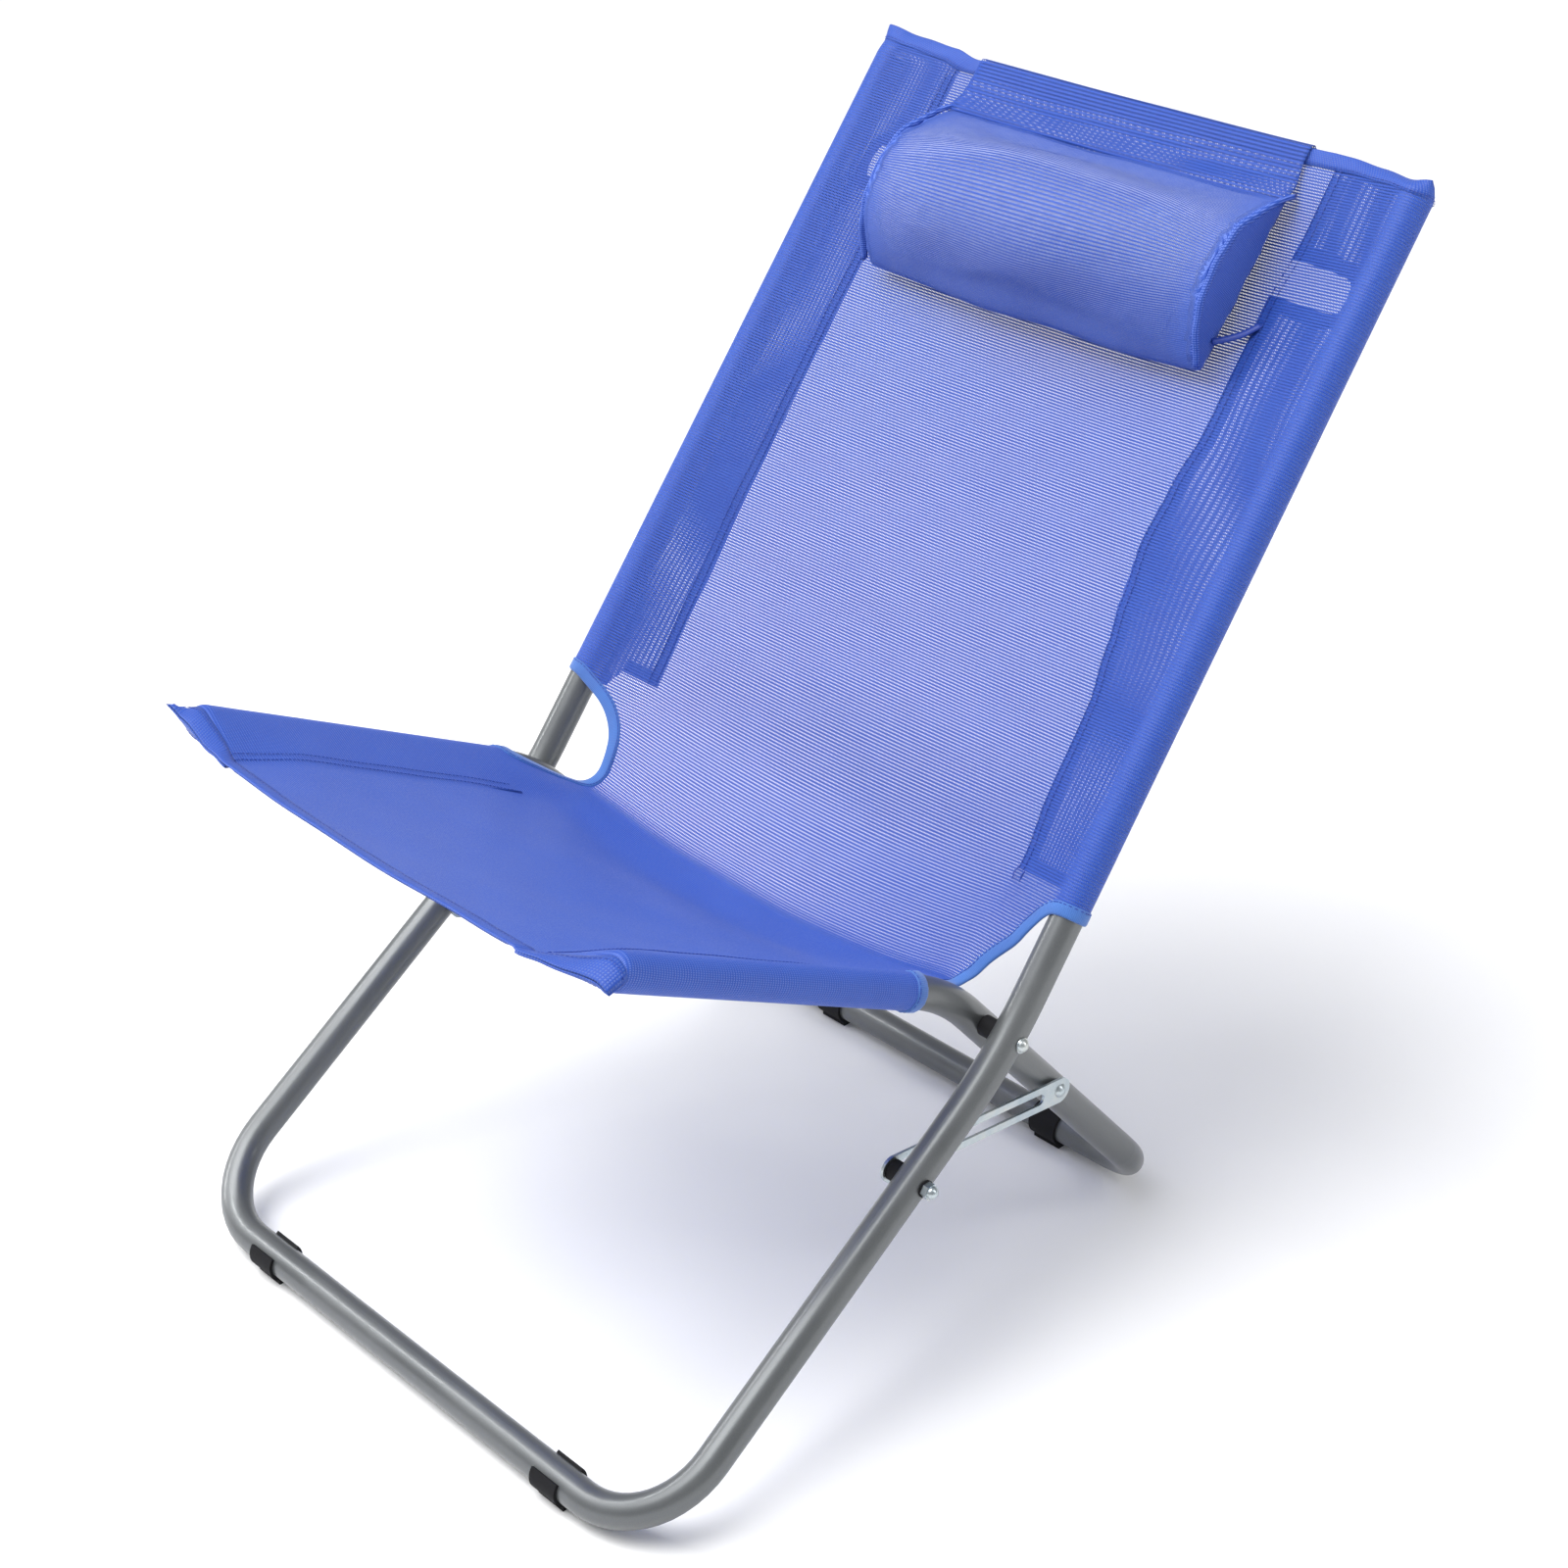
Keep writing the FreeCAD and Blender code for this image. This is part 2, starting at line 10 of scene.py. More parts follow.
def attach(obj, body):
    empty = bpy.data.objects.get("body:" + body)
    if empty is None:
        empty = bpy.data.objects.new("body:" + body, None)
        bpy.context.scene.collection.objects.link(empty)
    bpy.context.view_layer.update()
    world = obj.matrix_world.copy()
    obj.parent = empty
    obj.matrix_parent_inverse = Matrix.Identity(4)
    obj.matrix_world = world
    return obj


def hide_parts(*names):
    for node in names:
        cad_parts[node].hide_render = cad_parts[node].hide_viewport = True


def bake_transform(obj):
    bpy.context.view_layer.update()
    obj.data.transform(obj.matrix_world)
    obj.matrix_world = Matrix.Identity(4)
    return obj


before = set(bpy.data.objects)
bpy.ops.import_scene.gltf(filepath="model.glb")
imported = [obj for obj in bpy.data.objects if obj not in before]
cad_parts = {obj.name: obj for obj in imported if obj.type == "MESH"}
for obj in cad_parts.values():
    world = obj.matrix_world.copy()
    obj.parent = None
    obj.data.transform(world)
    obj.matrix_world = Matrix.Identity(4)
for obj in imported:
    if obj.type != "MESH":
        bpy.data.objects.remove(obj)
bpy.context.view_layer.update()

# ---------------- the CAD's design points
LEG_X = 0.2385                 # half spacing of the back frame's rails
RAIL_X = 0.2065                # half spacing of the seat frame's rails
PIVOT = np.array([-0.034347, 0.233182])
KNEE = np.array([-0.0439, 0.2210])
BACK_TOP = np.array([0.3359, 0.7053])
SEAT_FRONT = np.array([-0.3239, 0.3965])
SEAT_BEND = np.array([-0.0594, 0.2625])
SLEEVE_R = 0.0119              # middle of the cloth that is wrapped round a tube
BACK_MOUTH = 0.084             # lower end of a back sleeve, from the pivot
SEAT_MOUTH = 0.264             # rear end of a seat sleeve, from the seat rail's front end
CREASE_R = 0.020               # the cloth's bend where seat meets back
CLOTH_THICK = 0.0003
SIDES = {"left": 1.0, "right": -1.0}   # the sitter's left is +X

# ---------------- cloth cut and drape
# Tables are (place, value) pairs along the back (from the pivot) or the seat (from its front).
BACK_STITCH_X = [(0.014, 0.178), (0.100, 0.178), (0.620, 0.172)]
STRIP_SWELL = [(0.080, 0.0), (0.105, 0.003), (0.145, 0.0), (0.215, 0.0), (0.250, -0.005),
               (0.283, -0.011), (0.325, -0.0150), (0.360, -0.0115), (0.408, -0.005),
               (0.495, -0.005), (0.545, 0.0)]      # the +X strip is sewn wider at its middle
SEAT_STITCH_X = [(-0.02, 0.158), (0.333, 0.158)]
BACK_STITCH_LIFT = [(0.014, 0.0), (0.100, -0.010), (0.170, -0.007), (0.260, -0.003),
                    (0.400, 0.0), (0.620, 0.0)]
SEAT_STITCH_LIFT = [(-0.015, -0.010), (0.060, -0.0045), (0.333, -0.0045)]
BACK_SAG = [(0.014, 0.003), (0.090, 0.009), (0.500, 0.010), (0.620, 0.005)]
SEAT_SAG = [(-0.015, 0.004), (0.050, 0.0095), (0.333, 0.0095)]
# Hem lines by x, right to left across the chair.
TOP_HEM_MIDDLE = 0.608
TOP_HEM = [(-0.251, 0.617), (-0.216, 0.615), (-0.182, 0.613), (-0.160, 0.609), (0.0, TOP_HEM_MIDDLE),
           (0.146, 0.607), (0.182, 0.607), (0.208, 0.605), (0.236, 0.602), (0.251, 0.604)]
FRONT_LOOP_V = -0.012          # the seat sleeves' loop is measured here for the front hem
FRONT_HEM = [(-0.220, -0.015), (-0.210, -0.0095), (-0.170, -0.0075), (-0.150, -0.010),
             (-0.080, -0.012), (0.0, -0.0115), (0.080, -0.013), (0.150, -0.016),
             (0.180, -0.012), (0.209, -0.0085), (0.220, -0.0075)]
FRONT_LIP_LIFT = [(-0.220, 0.0065), (-0.208, 0.001), (-0.170, -0.0085), (-0.150, -0.0105),
                  (0.150, -0.012), (0.170, -0.010), (0.209, -0.006), (0.220, -0.0085)]
BACK_LIP_X = 0.2505            # outermost point of a back sleeve's flattened end
SEAT_LIP_X = 0.2195
PRESS_EASE = 1.6               # how late a back sleeve flattens on its way up to the hem
LIP_CURL = 0.006               # how far the outer end of a back sleeve's lip curls forward,
LIP_CURL_X = 0.225             # from this x outwards
LIP_CURL_WIDTH = 0.02
LAYER_LIFT = 0.0006            # each layer of a flattened sleeve, off the level between them
UNDER_SAG = 0.0012             # slack of the lower layer between rail and stitch line
RIPPLE_HALF = 0.2              # the cloth's ripples fade out before the rails
RIPPLE_FADE = 0.04
BACK_STRIP_END = 0.098         # lower end of the doubled strip beside a back rail
SEAT_STRIP_END = 0.248
BACK_STRIP_X = 0.2165          # a strip's end edge is cut from its inner edge out to here
SEAT_STRIP_X = 0.188
STRIP_STEP = 0.02              # spacing of the points along a strip's inner edge
NOTCH = (0.505, 0.5325)        # gap in the doubled strip, along the back
NOTCH_X = 0.219                # the gap reaches out to here
STITCH_INSETS = (0.0018, 0.0075)   # two rows of stitches hold each strip

# Cut-outs by side (+1 is +X, where it is shallower): (u, v) points by the seat sleeve, u at the
# crease, and (u, s) points by the back sleeve.
CUTOUT_SEAT = {1.0: [(0.196, 0.294), (0.1935, 0.318)], -1.0: [(0.196, 0.294), (0.187, 0.318)]}
CUTOUT_CREASE = {1.0: 0.1925, -1.0: 0.181}
CUTOUT_BACK = {1.0: [(0.1945, 0.022), (0.199, 0.034), (0.206, 0.044), (0.215, 0.054), (0.221, 0.066)],
               -1.0: [(0.183, 0.038), (0.190, 0.055), (0.208, 0.071)]}
CREASE_DIP = 0.020             # how far the unsupported crease hangs at mid width
CREASE_HALF = 0.178            # the dip's half width
CREASE_REACH = 0.16            # the dip fades out this far from the crease, along the cloth
CREASE_LEVEL = 0.072           # the cloth is flat across at the crease, and has its full section
                               # from this far away

BACK_TUBE_END = 0.5945         # plug faces inside the sleeves
SEAT_TUBE_END = 0.0052

WEFT_PITCH = 0.0021
WARP_PITCH = 0.0013
TAPE_WIDTH = 0.0085
TAPE_OVERLAP = 0.012           # a tape's ends run on under the sleeves
HEM_WIDTH = 0.011
STRIP_HEM = 0.0105

GRID = 0.0075                  # spacing of the sling's mesh points on the flat panels
RAIL_GRID = 0.0032             # and round the rails
END_GRID = 0.0022              # and at the two flattened ends
RAIL_BAND = (0.195, 0.325)     # the part of u that goes round the rails
OUTER_BAND = (0.230, 0.285)    # the part of u on a sleeve's outer face
WEAVE_LIMIT = 0.265            # the weave of the strips beyond this u lies askew

# How far the weave's holes are closed, 0 to 1, and the cloth length over which that fades.
SEAT_CLOSED = 0.76
SEAT_CLOSED_FADE = 0.009
SEAT_CLOSED_GAP = 0.003        # it starts this far in front of the crease
# painted highlight: on a sleeve's outer face the holes are filled with the pale gap colour, standing in for
# the lit tube seen through them
SLEEVE_PAINTED_HIGHLIGHT = 0.45
SLEEVE_PAINTED_HIGHLIGHT_FADE = 0.008
HEM_CLOSED = 0.60
# on the pillow's end panels this closing is partly painted shade, for panels that face away from the light,
# and partly their own darker look with little of the filling showing through
PILLOW_END_CLOSED = 0.95

# Pillow's end profile as (distance up the back, lift off the back's level), top edge first.
PILLOW_PROFILE = [(0.571, 0.004), (0.566, 0.012), (0.556, 0.022), (0.543, 0.034), (0.531, 0.043),
                  (0.517, 0.047), (0.503, 0.0485), (0.486, 0.0480), (0.473, 0.045), (0.460, 0.038),
                  (0.447, 0.027), (0.437, 0.015), (0.436, 0.006)]
PILLOW_CENTRE = np.array([0.505, 0.022])
PILLOW_CROWN = 1.00            # the crown's extra height at mid width, as a share of its height
PILLOW_HALF = 0.156
PILLOW_VOXEL = 0.005
END_DISH = 0.004               # how far an end panel is drawn in at its middle
PILLOW_LUMPS = 0.0012          # unevenness of the filling
PILLOW_BELLY = 0.004           # extra roundness of the lower side at mid width
PILLOW_SLACK = (-0.0020, 0.0015)   # limits of what is kept from the simulated shape
PILLOW_OFF_BACK = 0.002
FILL_DEPTH = 0.0018            # the filling lies this far inside the cover
FLAP_HALF = 0.154
FLAP_TAPER = 0.006             # the flap is this much narrower at the hem, on the +X side
FLAP_FREE = 0.57               # below this s the flap hangs free of the back's sag,
FLAP_FREE_FADE = 0.03          # and it takes this far to lie on the back
FLAP_WAVE = 0.0006
FLAP_WEAVE = (0.78, 0.72)      # size of its UVs, which makes its weave coarser than the sling's
FLAP_LINE = [(0.599, -0.0075), (0.603, -0.0066), (0.607, -0.0055), (0.6103, -0.0035),
             (0.6113, -0.0005), (0.6100, 0.0022), (0.6060, 0.0030), (0.598, 0.0030),
             (0.588, 0.0034), (0.580, 0.0044), (0.575, 0.0066), (0.571, 0.0088),
             (0.567, 0.0100), (0.563, 0.0100)]        # from behind the hem over to the front
TIE_LINE = [(0.1535, 0.460, 0.014), (0.160, 0.466, 0.009), (0.167, 0.473, 0.005),
            (0.1735, 0.483, 0.0012)]                  # (x, s, lift), pillow to strip
TIE_RADIUS = 0.0013
TAIL_XS = (0.1825, 0.1888)     # two thread ends hang below the +X strip
TAIL_LINE = [(0.0, 0.0985, -0.0068), (-0.0002, 0.0945, -0.0055), (0.0004, 0.0900, -0.0060)]
TAIL_RADIUS = 0.0005


def unit(v):
    return v / np.linalg.norm(v)


# Seat and back lines meet at the crease, which is rounded to CREASE_R.
back_dir = unit(BACK_TOP - KNEE)
seat_dir = unit(SEAT_BEND - SEAT_FRONT)
back_normal = np.array([-back_dir[1], back_dir[0]])
seat_normal = np.array([-seat_dir[1], seat_dir[0]])
cross = seat_dir[0] * back_dir[1] - seat_dir[1] * back_dir[0]
gap = KNEE - SEAT_FRONT
crease_seat = (gap[0] * back_dir[1] - gap[1] * back_dir[0]) / cross
crease_point = SEAT_FRONT + seat_dir * crease_seat
crease_back = float((crease_point - PIVOT) @ back_dir)
crease_turn = math.acos(float(seat_dir @ back_dir))
crease_tangent = CREASE_R * math.tan(crease_turn / 2)
v_bend_start = crease_seat - crease_tangent
v_bend_end = v_bend_start + CREASE_R * crease_turn
v_pivot = v_bend_end - (crease_back + crease_tangent)   # cloth length at the pivot's level
v_middle = (v_bend_start + v_bend_end) / 2
crease_normal = unit(seat_normal + back_normal)


def smooth(t):
    """0 up to t = 0, 1 from t = 1, eased between."""
    t = np.clip(t, 0.0, 1.0)
    return t * t * (3.0 - 2.0 * t)


def table(places, pairs):
    """Smoothly eased values of a (place, value) table."""
    keys = [pair[0] for pair in pairs]
    values = np.array([pair[1] for pair in pairs])
    index = np.clip(np.searchsorted(keys, places) - 1, 0, len(keys) - 2)
    low = np.array(keys)[index]
    high = np.array(keys)[index + 1]
    share = smooth((places - low) / (high - low))
    return values[index] * (1.0 - share) + values[index + 1] * share


def spine(v):
    """Side-view (y, z) and normal of the sling's level line at cloth length v from the seat's front."""
    v = np.asarray(v, float)[..., None]
    seat = SEAT_FRONT + seat_dir * v
    back = PIVOT + back_dir * (v - v_pivot)
    turn = np.clip((v - v_bend_start) / CREASE_R, 0.0, crease_turn)
    normal = seat_normal * np.cos(turn) + (-seat_dir) * np.sin(turn)
    centre = SEAT_FRONT + seat_dir * v_bend_start + seat_normal * CREASE_R
    bend = centre - normal * CREASE_R
    point = np.where(v < v_bend_start, seat, np.where(v > v_bend_end, back, bend))
    return point, normal


def section(u, rail_x, stitch_x, stitch_lift, sag):
    """x and lift across one side at cloth length u from the middle: a sagging panel up to the
    stitch line, a taut run to the rail, once round it, and back under to the stitch line. The
    lengths of that run and of the wrap round the rail come with them."""
    reach_x = rail_x - stitch_x
    reach = np.hypot(reach_x, stitch_lift)
    base = np.arctan2(-stitch_lift, reach_x)
    spread = np.arcsin(SLEEVE_R / reach)
    run = np.sqrt(reach ** 2 - SLEEVE_R ** 2)
    wrap = SLEEVE_R * (math.pi + 2.0 * spread)
    upper = base + spread
    lower = base - spread
    x = u.copy()
    lift = stitch_lift - sag * (1.0 - (u / stitch_x) ** 2)
    q = u - stitch_x
    on_run = (q > 0) & (q <= run)
    x = np.where(on_run, stitch_x + q * np.cos(upper), x)
    lift = np.where(on_run, stitch_lift + q * np.sin(upper), lift)
    angle = upper + math.pi / 2 - (q - run) / SLEEVE_R
    on_wrap = (q > run) & (q <= run + wrap)
    x = np.where(on_wrap, rail_x + SLEEVE_R * np.cos(angle), x)
    lift = np.where(on_wrap, SLEEVE_R * np.sin(angle), lift)
    left = 2.0 * run + wrap - q
    under = q > run + wrap
    x = np.where(under, stitch_x + left * np.cos(lower), x)
    lift = np.where(under, stitch_lift + left * np.sin(lower) - UNDER_SAG * (1.0 - left / run), lift)
    return x, lift, run, wrap


def pressed(u, stitch_x, run, wrap, lip_x):
    """x, and +1 or -1 for upper or lower layer, where a sleeve is pressed flat."""
    half = run + wrap / 2.0
    q = u - stitch_x
    inner = lip_x - half
    x = np.where(q <= half, inner + q, inner + 2.0 * half - q)
    x = np.where(q < 0, u * inner / stitch_x, x)
    layer = np.where(q < 0, 0.0, np.where(q <= half, 1.0, -1.0))
    return x, layer


def ripples(x, v):
    """Small hand-sewn unevenness of the cloth, at most about 1 mm."""
    slow = 0.0007 * np.sin(31.0 * v + 9.0 * x) * np.cos(23.0 * x - 1.3)
    crossing = 0.0004 * np.sin(58.0 * x + 17.0 * v + 0.8) * np.sin(71.0 * v)
    return slow + crossing


def back_stitch(s, side):
    """x of the seam that holds a back strip, on the +X (side 1) or the -X (side -1) half."""
    return table(s, BACK_STITCH_X) + np.where(np.asarray(side) > 0, table(s, STRIP_SWELL), 0.0)


def cloth_section(a, place, back, side):
    """Stitch line, x, lift, run and wrap at cloth length a from the middle: of the back at s =
    place, or of the seat at v = place."""
    if back:
        stitch = back_stitch(place, side)
        return stitch, *section(a, LEG_X, stitch, table(place, BACK_STITCH_LIFT), table(place, BACK_SAG))
    stitch = table(place, SEAT_STITCH_X)
    return stitch, *section(a, RAIL_X, stitch, table(place, SEAT_STITCH_LIFT), table(place, SEAT_SAG))


def sling_point(u, v):
    """Point of the sling at cloth coordinates u (across) and v (from the seat's front, up the back)."""
    u = np.asarray(u, float)
    v = np.asarray(v, float)
    side = np.where(u < 0, -1.0, 1.0)
    a = np.abs(u)
    s = v - v_pivot
    back_stitch_x, back_x, back_lift, back_run, back_wrap = cloth_section(a, s, True, side)
    seat_stitch_x, seat_x, seat_lift, seat_run, seat_wrap = cloth_section(a, v, False, side)
    on_back = v > v_middle
    x = np.where(on_back, back_x, seat_x)
    lift = np.where(on_back, back_lift, seat_lift)
    from_crease = np.where(on_back, s - crease_back, crease_seat - v)
    held = smooth(from_crease / CREASE_LEVEL)
    x = a + held * (x - a)
    lift = held * lift

    flat_x, layer = pressed(a, back_stitch_x, back_run, back_wrap, BACK_LIP_X)
    hem = table(side * flat_x, TOP_HEM)
    share = np.clip((s - BACK_TUBE_END) / (hem - BACK_TUBE_END), 0.0, 1.0) ** PRESS_EASE
    flat_lift = LAYER_LIFT * layer + LIP_CURL * smooth((flat_x - LIP_CURL_X) / LIP_CURL_WIDTH)
    flat_lift = np.where(layer == 0.0, lift, flat_lift)
    x = np.where(on_back, x + share * (flat_x - x), x)
    lift = np.where(on_back, lift + share * (flat_lift - lift), lift)

    flat_x, layer = pressed(a, seat_stitch_x, seat_run, seat_wrap, SEAT_LIP_X)
    hem = table(side * flat_x, FRONT_HEM)
    share = np.clip((SEAT_TUBE_END - v) / (SEAT_TUBE_END - hem), 0.0, 1.0)
    flat_lift = table(side * flat_x, FRONT_LIP_LIFT) + LAYER_LIFT * layer
    flat_lift = np.where(layer == 0.0, lift, flat_lift)
    x = np.where(on_back, x, x + share * (flat_x - x))
    lift = np.where(on_back, lift, lift + share * (flat_lift - lift))

    on_panel = smooth((RIPPLE_HALF - a) / RIPPLE_FADE)
    lift = lift + ripples(side * x, v) * on_panel
    point, normal = spine(v)
    dip = CREASE_DIP * np.clip(1.0 - (a / CREASE_HALF) ** 2, 0.0, 1.0)
    dip = dip * smooth(1.0 - np.abs(v - v_middle) / CREASE_REACH)
    place = point + normal * lift[..., None] - crease_normal * dip[..., None]
    return np.stack([side * x, place[..., 0], place[..., 1]], axis=-1)


def sling_normal(u, v):
    step = 0.0005
    across = sling_point(u + step, v) - sling_point(u - step, v)
    along = sling_point(u, v + step) - sling_point(u, v - step)
    normal = np.cross(across, along)
    return normal / np.linalg.norm(normal, axis=-1, keepdims=True)


# ---------------- the sling's flat outline
def loop_lengths(v, back, side=1.0):
    """Stitch line, run and wrap lengths of a sleeve's section at one place."""
    place = np.array([v - v_pivot if back else v])
    stitch, _, _, run, wrap = cloth_section(np.zeros(1), place, back, side)
    return float(stitch[0]), float(run[0]), float(wrap[0])


def edge_point(v, back, side=1.0, inset=0.0):
    """Point of a strip's inner edge, where the lower layer is back at the stitch line."""
    stitch, run, wrap = loop_lengths(v, back, side)
    return stitch + 2.0 * run + wrap - inset, v


def rounded(points, rounds=3):
    """Chaikin corner cutting that keeps both ends."""
    for _ in range(rounds):
        cut = [points[0]]
        for a, b in zip(points[:-1], points[1:]):
            cut.append((0.75 * a[0] + 0.25 * b[0], 0.75 * a[1] + 0.25 * b[1]))
            cut.append((0.25 * a[0] + 0.75 * b[0], 0.25 * a[1] + 0.75 * b[1]))
        cut.append(points[-1])
        points = cut
    return points


def spaced(points, step):
    """The same line with points about step apart, corners kept where they are sharp."""
    points = np.array(points, float)
    out = [points[0]]
    for a, b in zip(points[:-1], points[1:]):
        pieces = max(1, int(round(np.linalg.norm(b - a) / step)))
        out.extend(a + (b - a) * (k + 1) / pieces for k in range(pieces))
    out = np.array(out)
    keep = [0]
    for index in range(1, len(out)):
        last = index == len(out) - 1
        if np.linalg.norm(out[index] - out[keep[-1]]) > 0.55 * step or last:
            keep.append(index)
    return out[keep]


def cutout_line(side):
    """Bound edge of one side, from the seat sleeve's mouth to the back sleeve's mouth."""
    stitch, run, wrap = loop_lengths(SEAT_MOUTH, back=False)
    near = stitch + run
    line = [(near + wrap + TAPE_OVERLAP, SEAT_MOUTH), (near + wrap, SEAT_MOUTH), (near + 0.003, SEAT_MOUTH),
            (near - 0.004, SEAT_MOUTH + 0.012)]
    line += [(x, v) for x, v in CUTOUT_SEAT[side]] + [(CUTOUT_CREASE[side], v_middle)]
    line += [(x, s + v_pivot) for x, s in CUTOUT_BACK[side]]
    mouth = BACK_MOUTH + v_pivot
    stitch, run, wrap = loop_lengths(mouth, back=True)
    near = stitch + run
    line += [(near - 0.006, mouth - 0.004), (near + 0.004, mouth), (near + wrap, mouth),
             (near + wrap + TAPE_OVERLAP, mouth)]
    return spaced(rounded(line), 0.0035)


def under_x(x, v, back, side=1.0):
    """Cloth length u of the lower layer at a given x."""
    stitch, run, wrap = loop_lengths(v, back, side)
    spread = math.asin(SLEEVE_R / ((LEG_X if back else RAIL_X) - stitch))
    return stitch + 2.0 * run + wrap - (x - stitch) / math.cos(spread)


def strip_line_back(side):
    """Inner edge of the back's lower layer, from the sleeve's mouth up to the top hem."""
    low = BACK_STRIP_END + v_pivot
    below = np.arange(BACK_STRIP_END + STRIP_STEP, NOTCH[0] - STRIP_STEP / 2, STRIP_STEP) + v_pivot
    first, last = NOTCH[0] + v_pivot, NOTCH[1] + v_pivot
    above = np.arange(NOTCH[1] + STRIP_STEP, BACK_TUBE_END, STRIP_STEP) + v_pivot
    deep = under_x(NOTCH_X, first, True, side)
    notch = [edge_point(first, True, side, 0.010), (deep + 0.004, first), (deep, first + 0.005),
             (deep, last - 0.005), (deep + 0.006, last), edge_point(last, True, side, 0.010)]
    line = [(under_x(BACK_STRIP_X, low, True, side), low)]
    line += [edge_point(v, True, side) for v in (low, *below, first)]
    line += rounded(notch, 2)
    line += [edge_point(v, True, side) for v in (last, *above)]
    return line


def strip_line_seat():
    """Inner edge of the seat's lower layer, from the front hem to the sleeve's mouth."""
    places = np.arange(STRIP_STEP, SEAT_STRIP_END - 0.005, STRIP_STEP)
    line = [(edge_point(0.005, False)[0], 0.004)]
    line += [edge_point(v, False) for v in (*places, SEAT_STRIP_END)]
    return line + [(under_x(SEAT_STRIP_X, SEAT_STRIP_END, False), SEAT_STRIP_END)]


def hem_line(side, back):
    """Closed-off end of the sling from the middle outwards and, under the sleeve, back in."""
    v = v_pivot + TOP_HEM_MIDDLE if back else FRONT_LOOP_V
    stitch, run, wrap = loop_lengths(v, back)
    end = stitch + 2.0 * run + wrap
    lip = BACK_LIP_X if back else SEAT_LIP_X
    a = np.arange(0.0, end + 1e-9, end / 90.0)
    flat_x, _ = pressed(a, np.full_like(a, stitch), run, wrap, lip)
    hem = table(side * flat_x, TOP_HEM if back else FRONT_HEM)
    return [(u, h + (v_pivot if back else 0.0)) for u, h in zip(a, hem)]


def side_outline(side):
    """Outline of one half, from the middle of the seat's front hem to the middle of the top hem."""
    front = hem_line(side, back=False)
    top = hem_line(side, back=True)
    line = front + strip_line_seat() + [tuple(p) for p in cutout_line(side)] + strip_line_back(side)
    return line + top[::-1]


def sling_outline():
    """The whole flat outline: the +X half, then the -X half back to the start."""
    right = [(-u, v) for u, v in side_outline(-1.0)]
    return np.array(side_outline(1.0) + right[::-1][1:-1])


# ---------------- mesh building
def smooth_shade(mesh):
    mesh.polygons.foreach_set("use_smooth", [True] * len(mesh.polygons))


def new_object(name, verts, faces):
    mesh = bpy.data.meshes.new(name)
    mesh.from_pydata([tuple(map(float, p)) for p in verts], [], [tuple(map(int, f)) for f in faces])
    mesh.validate()
    smooth_shade(mesh)
    obj = bpy.data.objects.new(name, mesh)
    bpy.context.scene.collection.objects.link(obj)
    return obj


def band_faces(count, width, closed=True):
    """Faces between count rows of width points: a capped tube if closed, else an open sheet."""
    faces = []
    for i in range(count - 1):
        for j in range(width if closed else width - 1):
            k = (j + 1) % width
            faces.append((i * width + j, i * width + k, (i + 1) * width + k, (i + 1) * width + j))
    if closed:
        faces.append(tuple(range(width))[::-1])
        faces.append(tuple((count - 1) * width + j for j in range(width)))
    return faces


def thicken(obj):
    """Give a cloth surface its thickness, half to each side."""
    solid = obj.modifiers.new("Cloth thickness", "SOLIDIFY")
    solid.thickness = CLOTH_THICK
    solid.offset = 0.0


def set_uv(obj, coords):
    """One UV per vertex, in metres of cloth."""
    layer = obj.data.uv_layers.new(name="Weave")
    index = np.zeros(len(obj.data.loops), int)
    obj.data.loops.foreach_get("vertex_index", index)
    layer.data.foreach_set("uv", np.asarray(coords, float)[index].ravel())


def inside(points, polygon):
    """Which points lie inside a polygon, by crossing number."""
    x, y = points[:, 0], points[:, 1]
    within = np.zeros(len(points), bool)
    for (x1, y1), (x2, y2) in zip(polygon, np.roll(polygon, -1, axis=0)):
        crosses = (y1 > y) != (y2 > y)
        with np.errstate(divide="ignore", invalid="ignore"):
            at = (x2 - x1) * (y - y1) / (y2 - y1) + x1
        within ^= crosses & (x < at)
    return within


def distance_to(points, line):
    """Distance of each point to the nearest vertex of a densely sampled line."""
    best = np.full(len(points), 9.0)
    for start in range(0, len(line), 200):
        chunk = line[start:start + 200]
        apart = np.linalg.norm(points[:, None, :] - chunk[None, :, :], axis=2)
        best = np.minimum(best, apart.min(axis=1))
    return best


def grid_columns(limit):
    """Columns across the cloth: close together round the rails, wider on the flat."""
    columns = [0.0]
    while columns[-1] < limit:
        u = columns[-1]
        round_rail = RAIL_BAND[0] < u < RAIL_BAND[1]
        columns.append(u + (RAIL_GRID if round_rail else GRID))
    half = np.array(columns)
    return np.concatenate([-half[:0:-1], half])


def flat_mesh(outline, columns, rows):
    """Points and triangles of a flat outline filled with grid points, and its boundary."""
    line = spaced(np.vstack([outline, outline[:1]]), 0.005)[:-1]
    grid_u, grid_v = np.meshgrid(columns, rows)
    grid = np.column_stack([grid_u.ravel(), grid_v.ravel()])
    grid = grid[inside(grid, line)]
    grid = grid[distance_to(grid, spaced(line, 0.0015)) > 0.0022]
    points = np.vstack([line, grid])
    made = delaunay_2d_cdt([Vector(p) for p in points], [], [list(range(len(line)))], 1, 1e-6)
    return np.array([tuple(p) for p in made[0]]), [tuple(f) for f in made[2]], line


# ---------------- materials
THREAD_DARK = (0.014, 0.048, 0.33)
THREAD_LIGHT = (0.029, 0.096, 0.45)
GAP_PALE = (0.13, 0.215, 0.66)     # what fills the weave's holes where they are closed; on the sleeves' outer faces this is a painted highlight, on the pillow painted shade that hides the pale filling
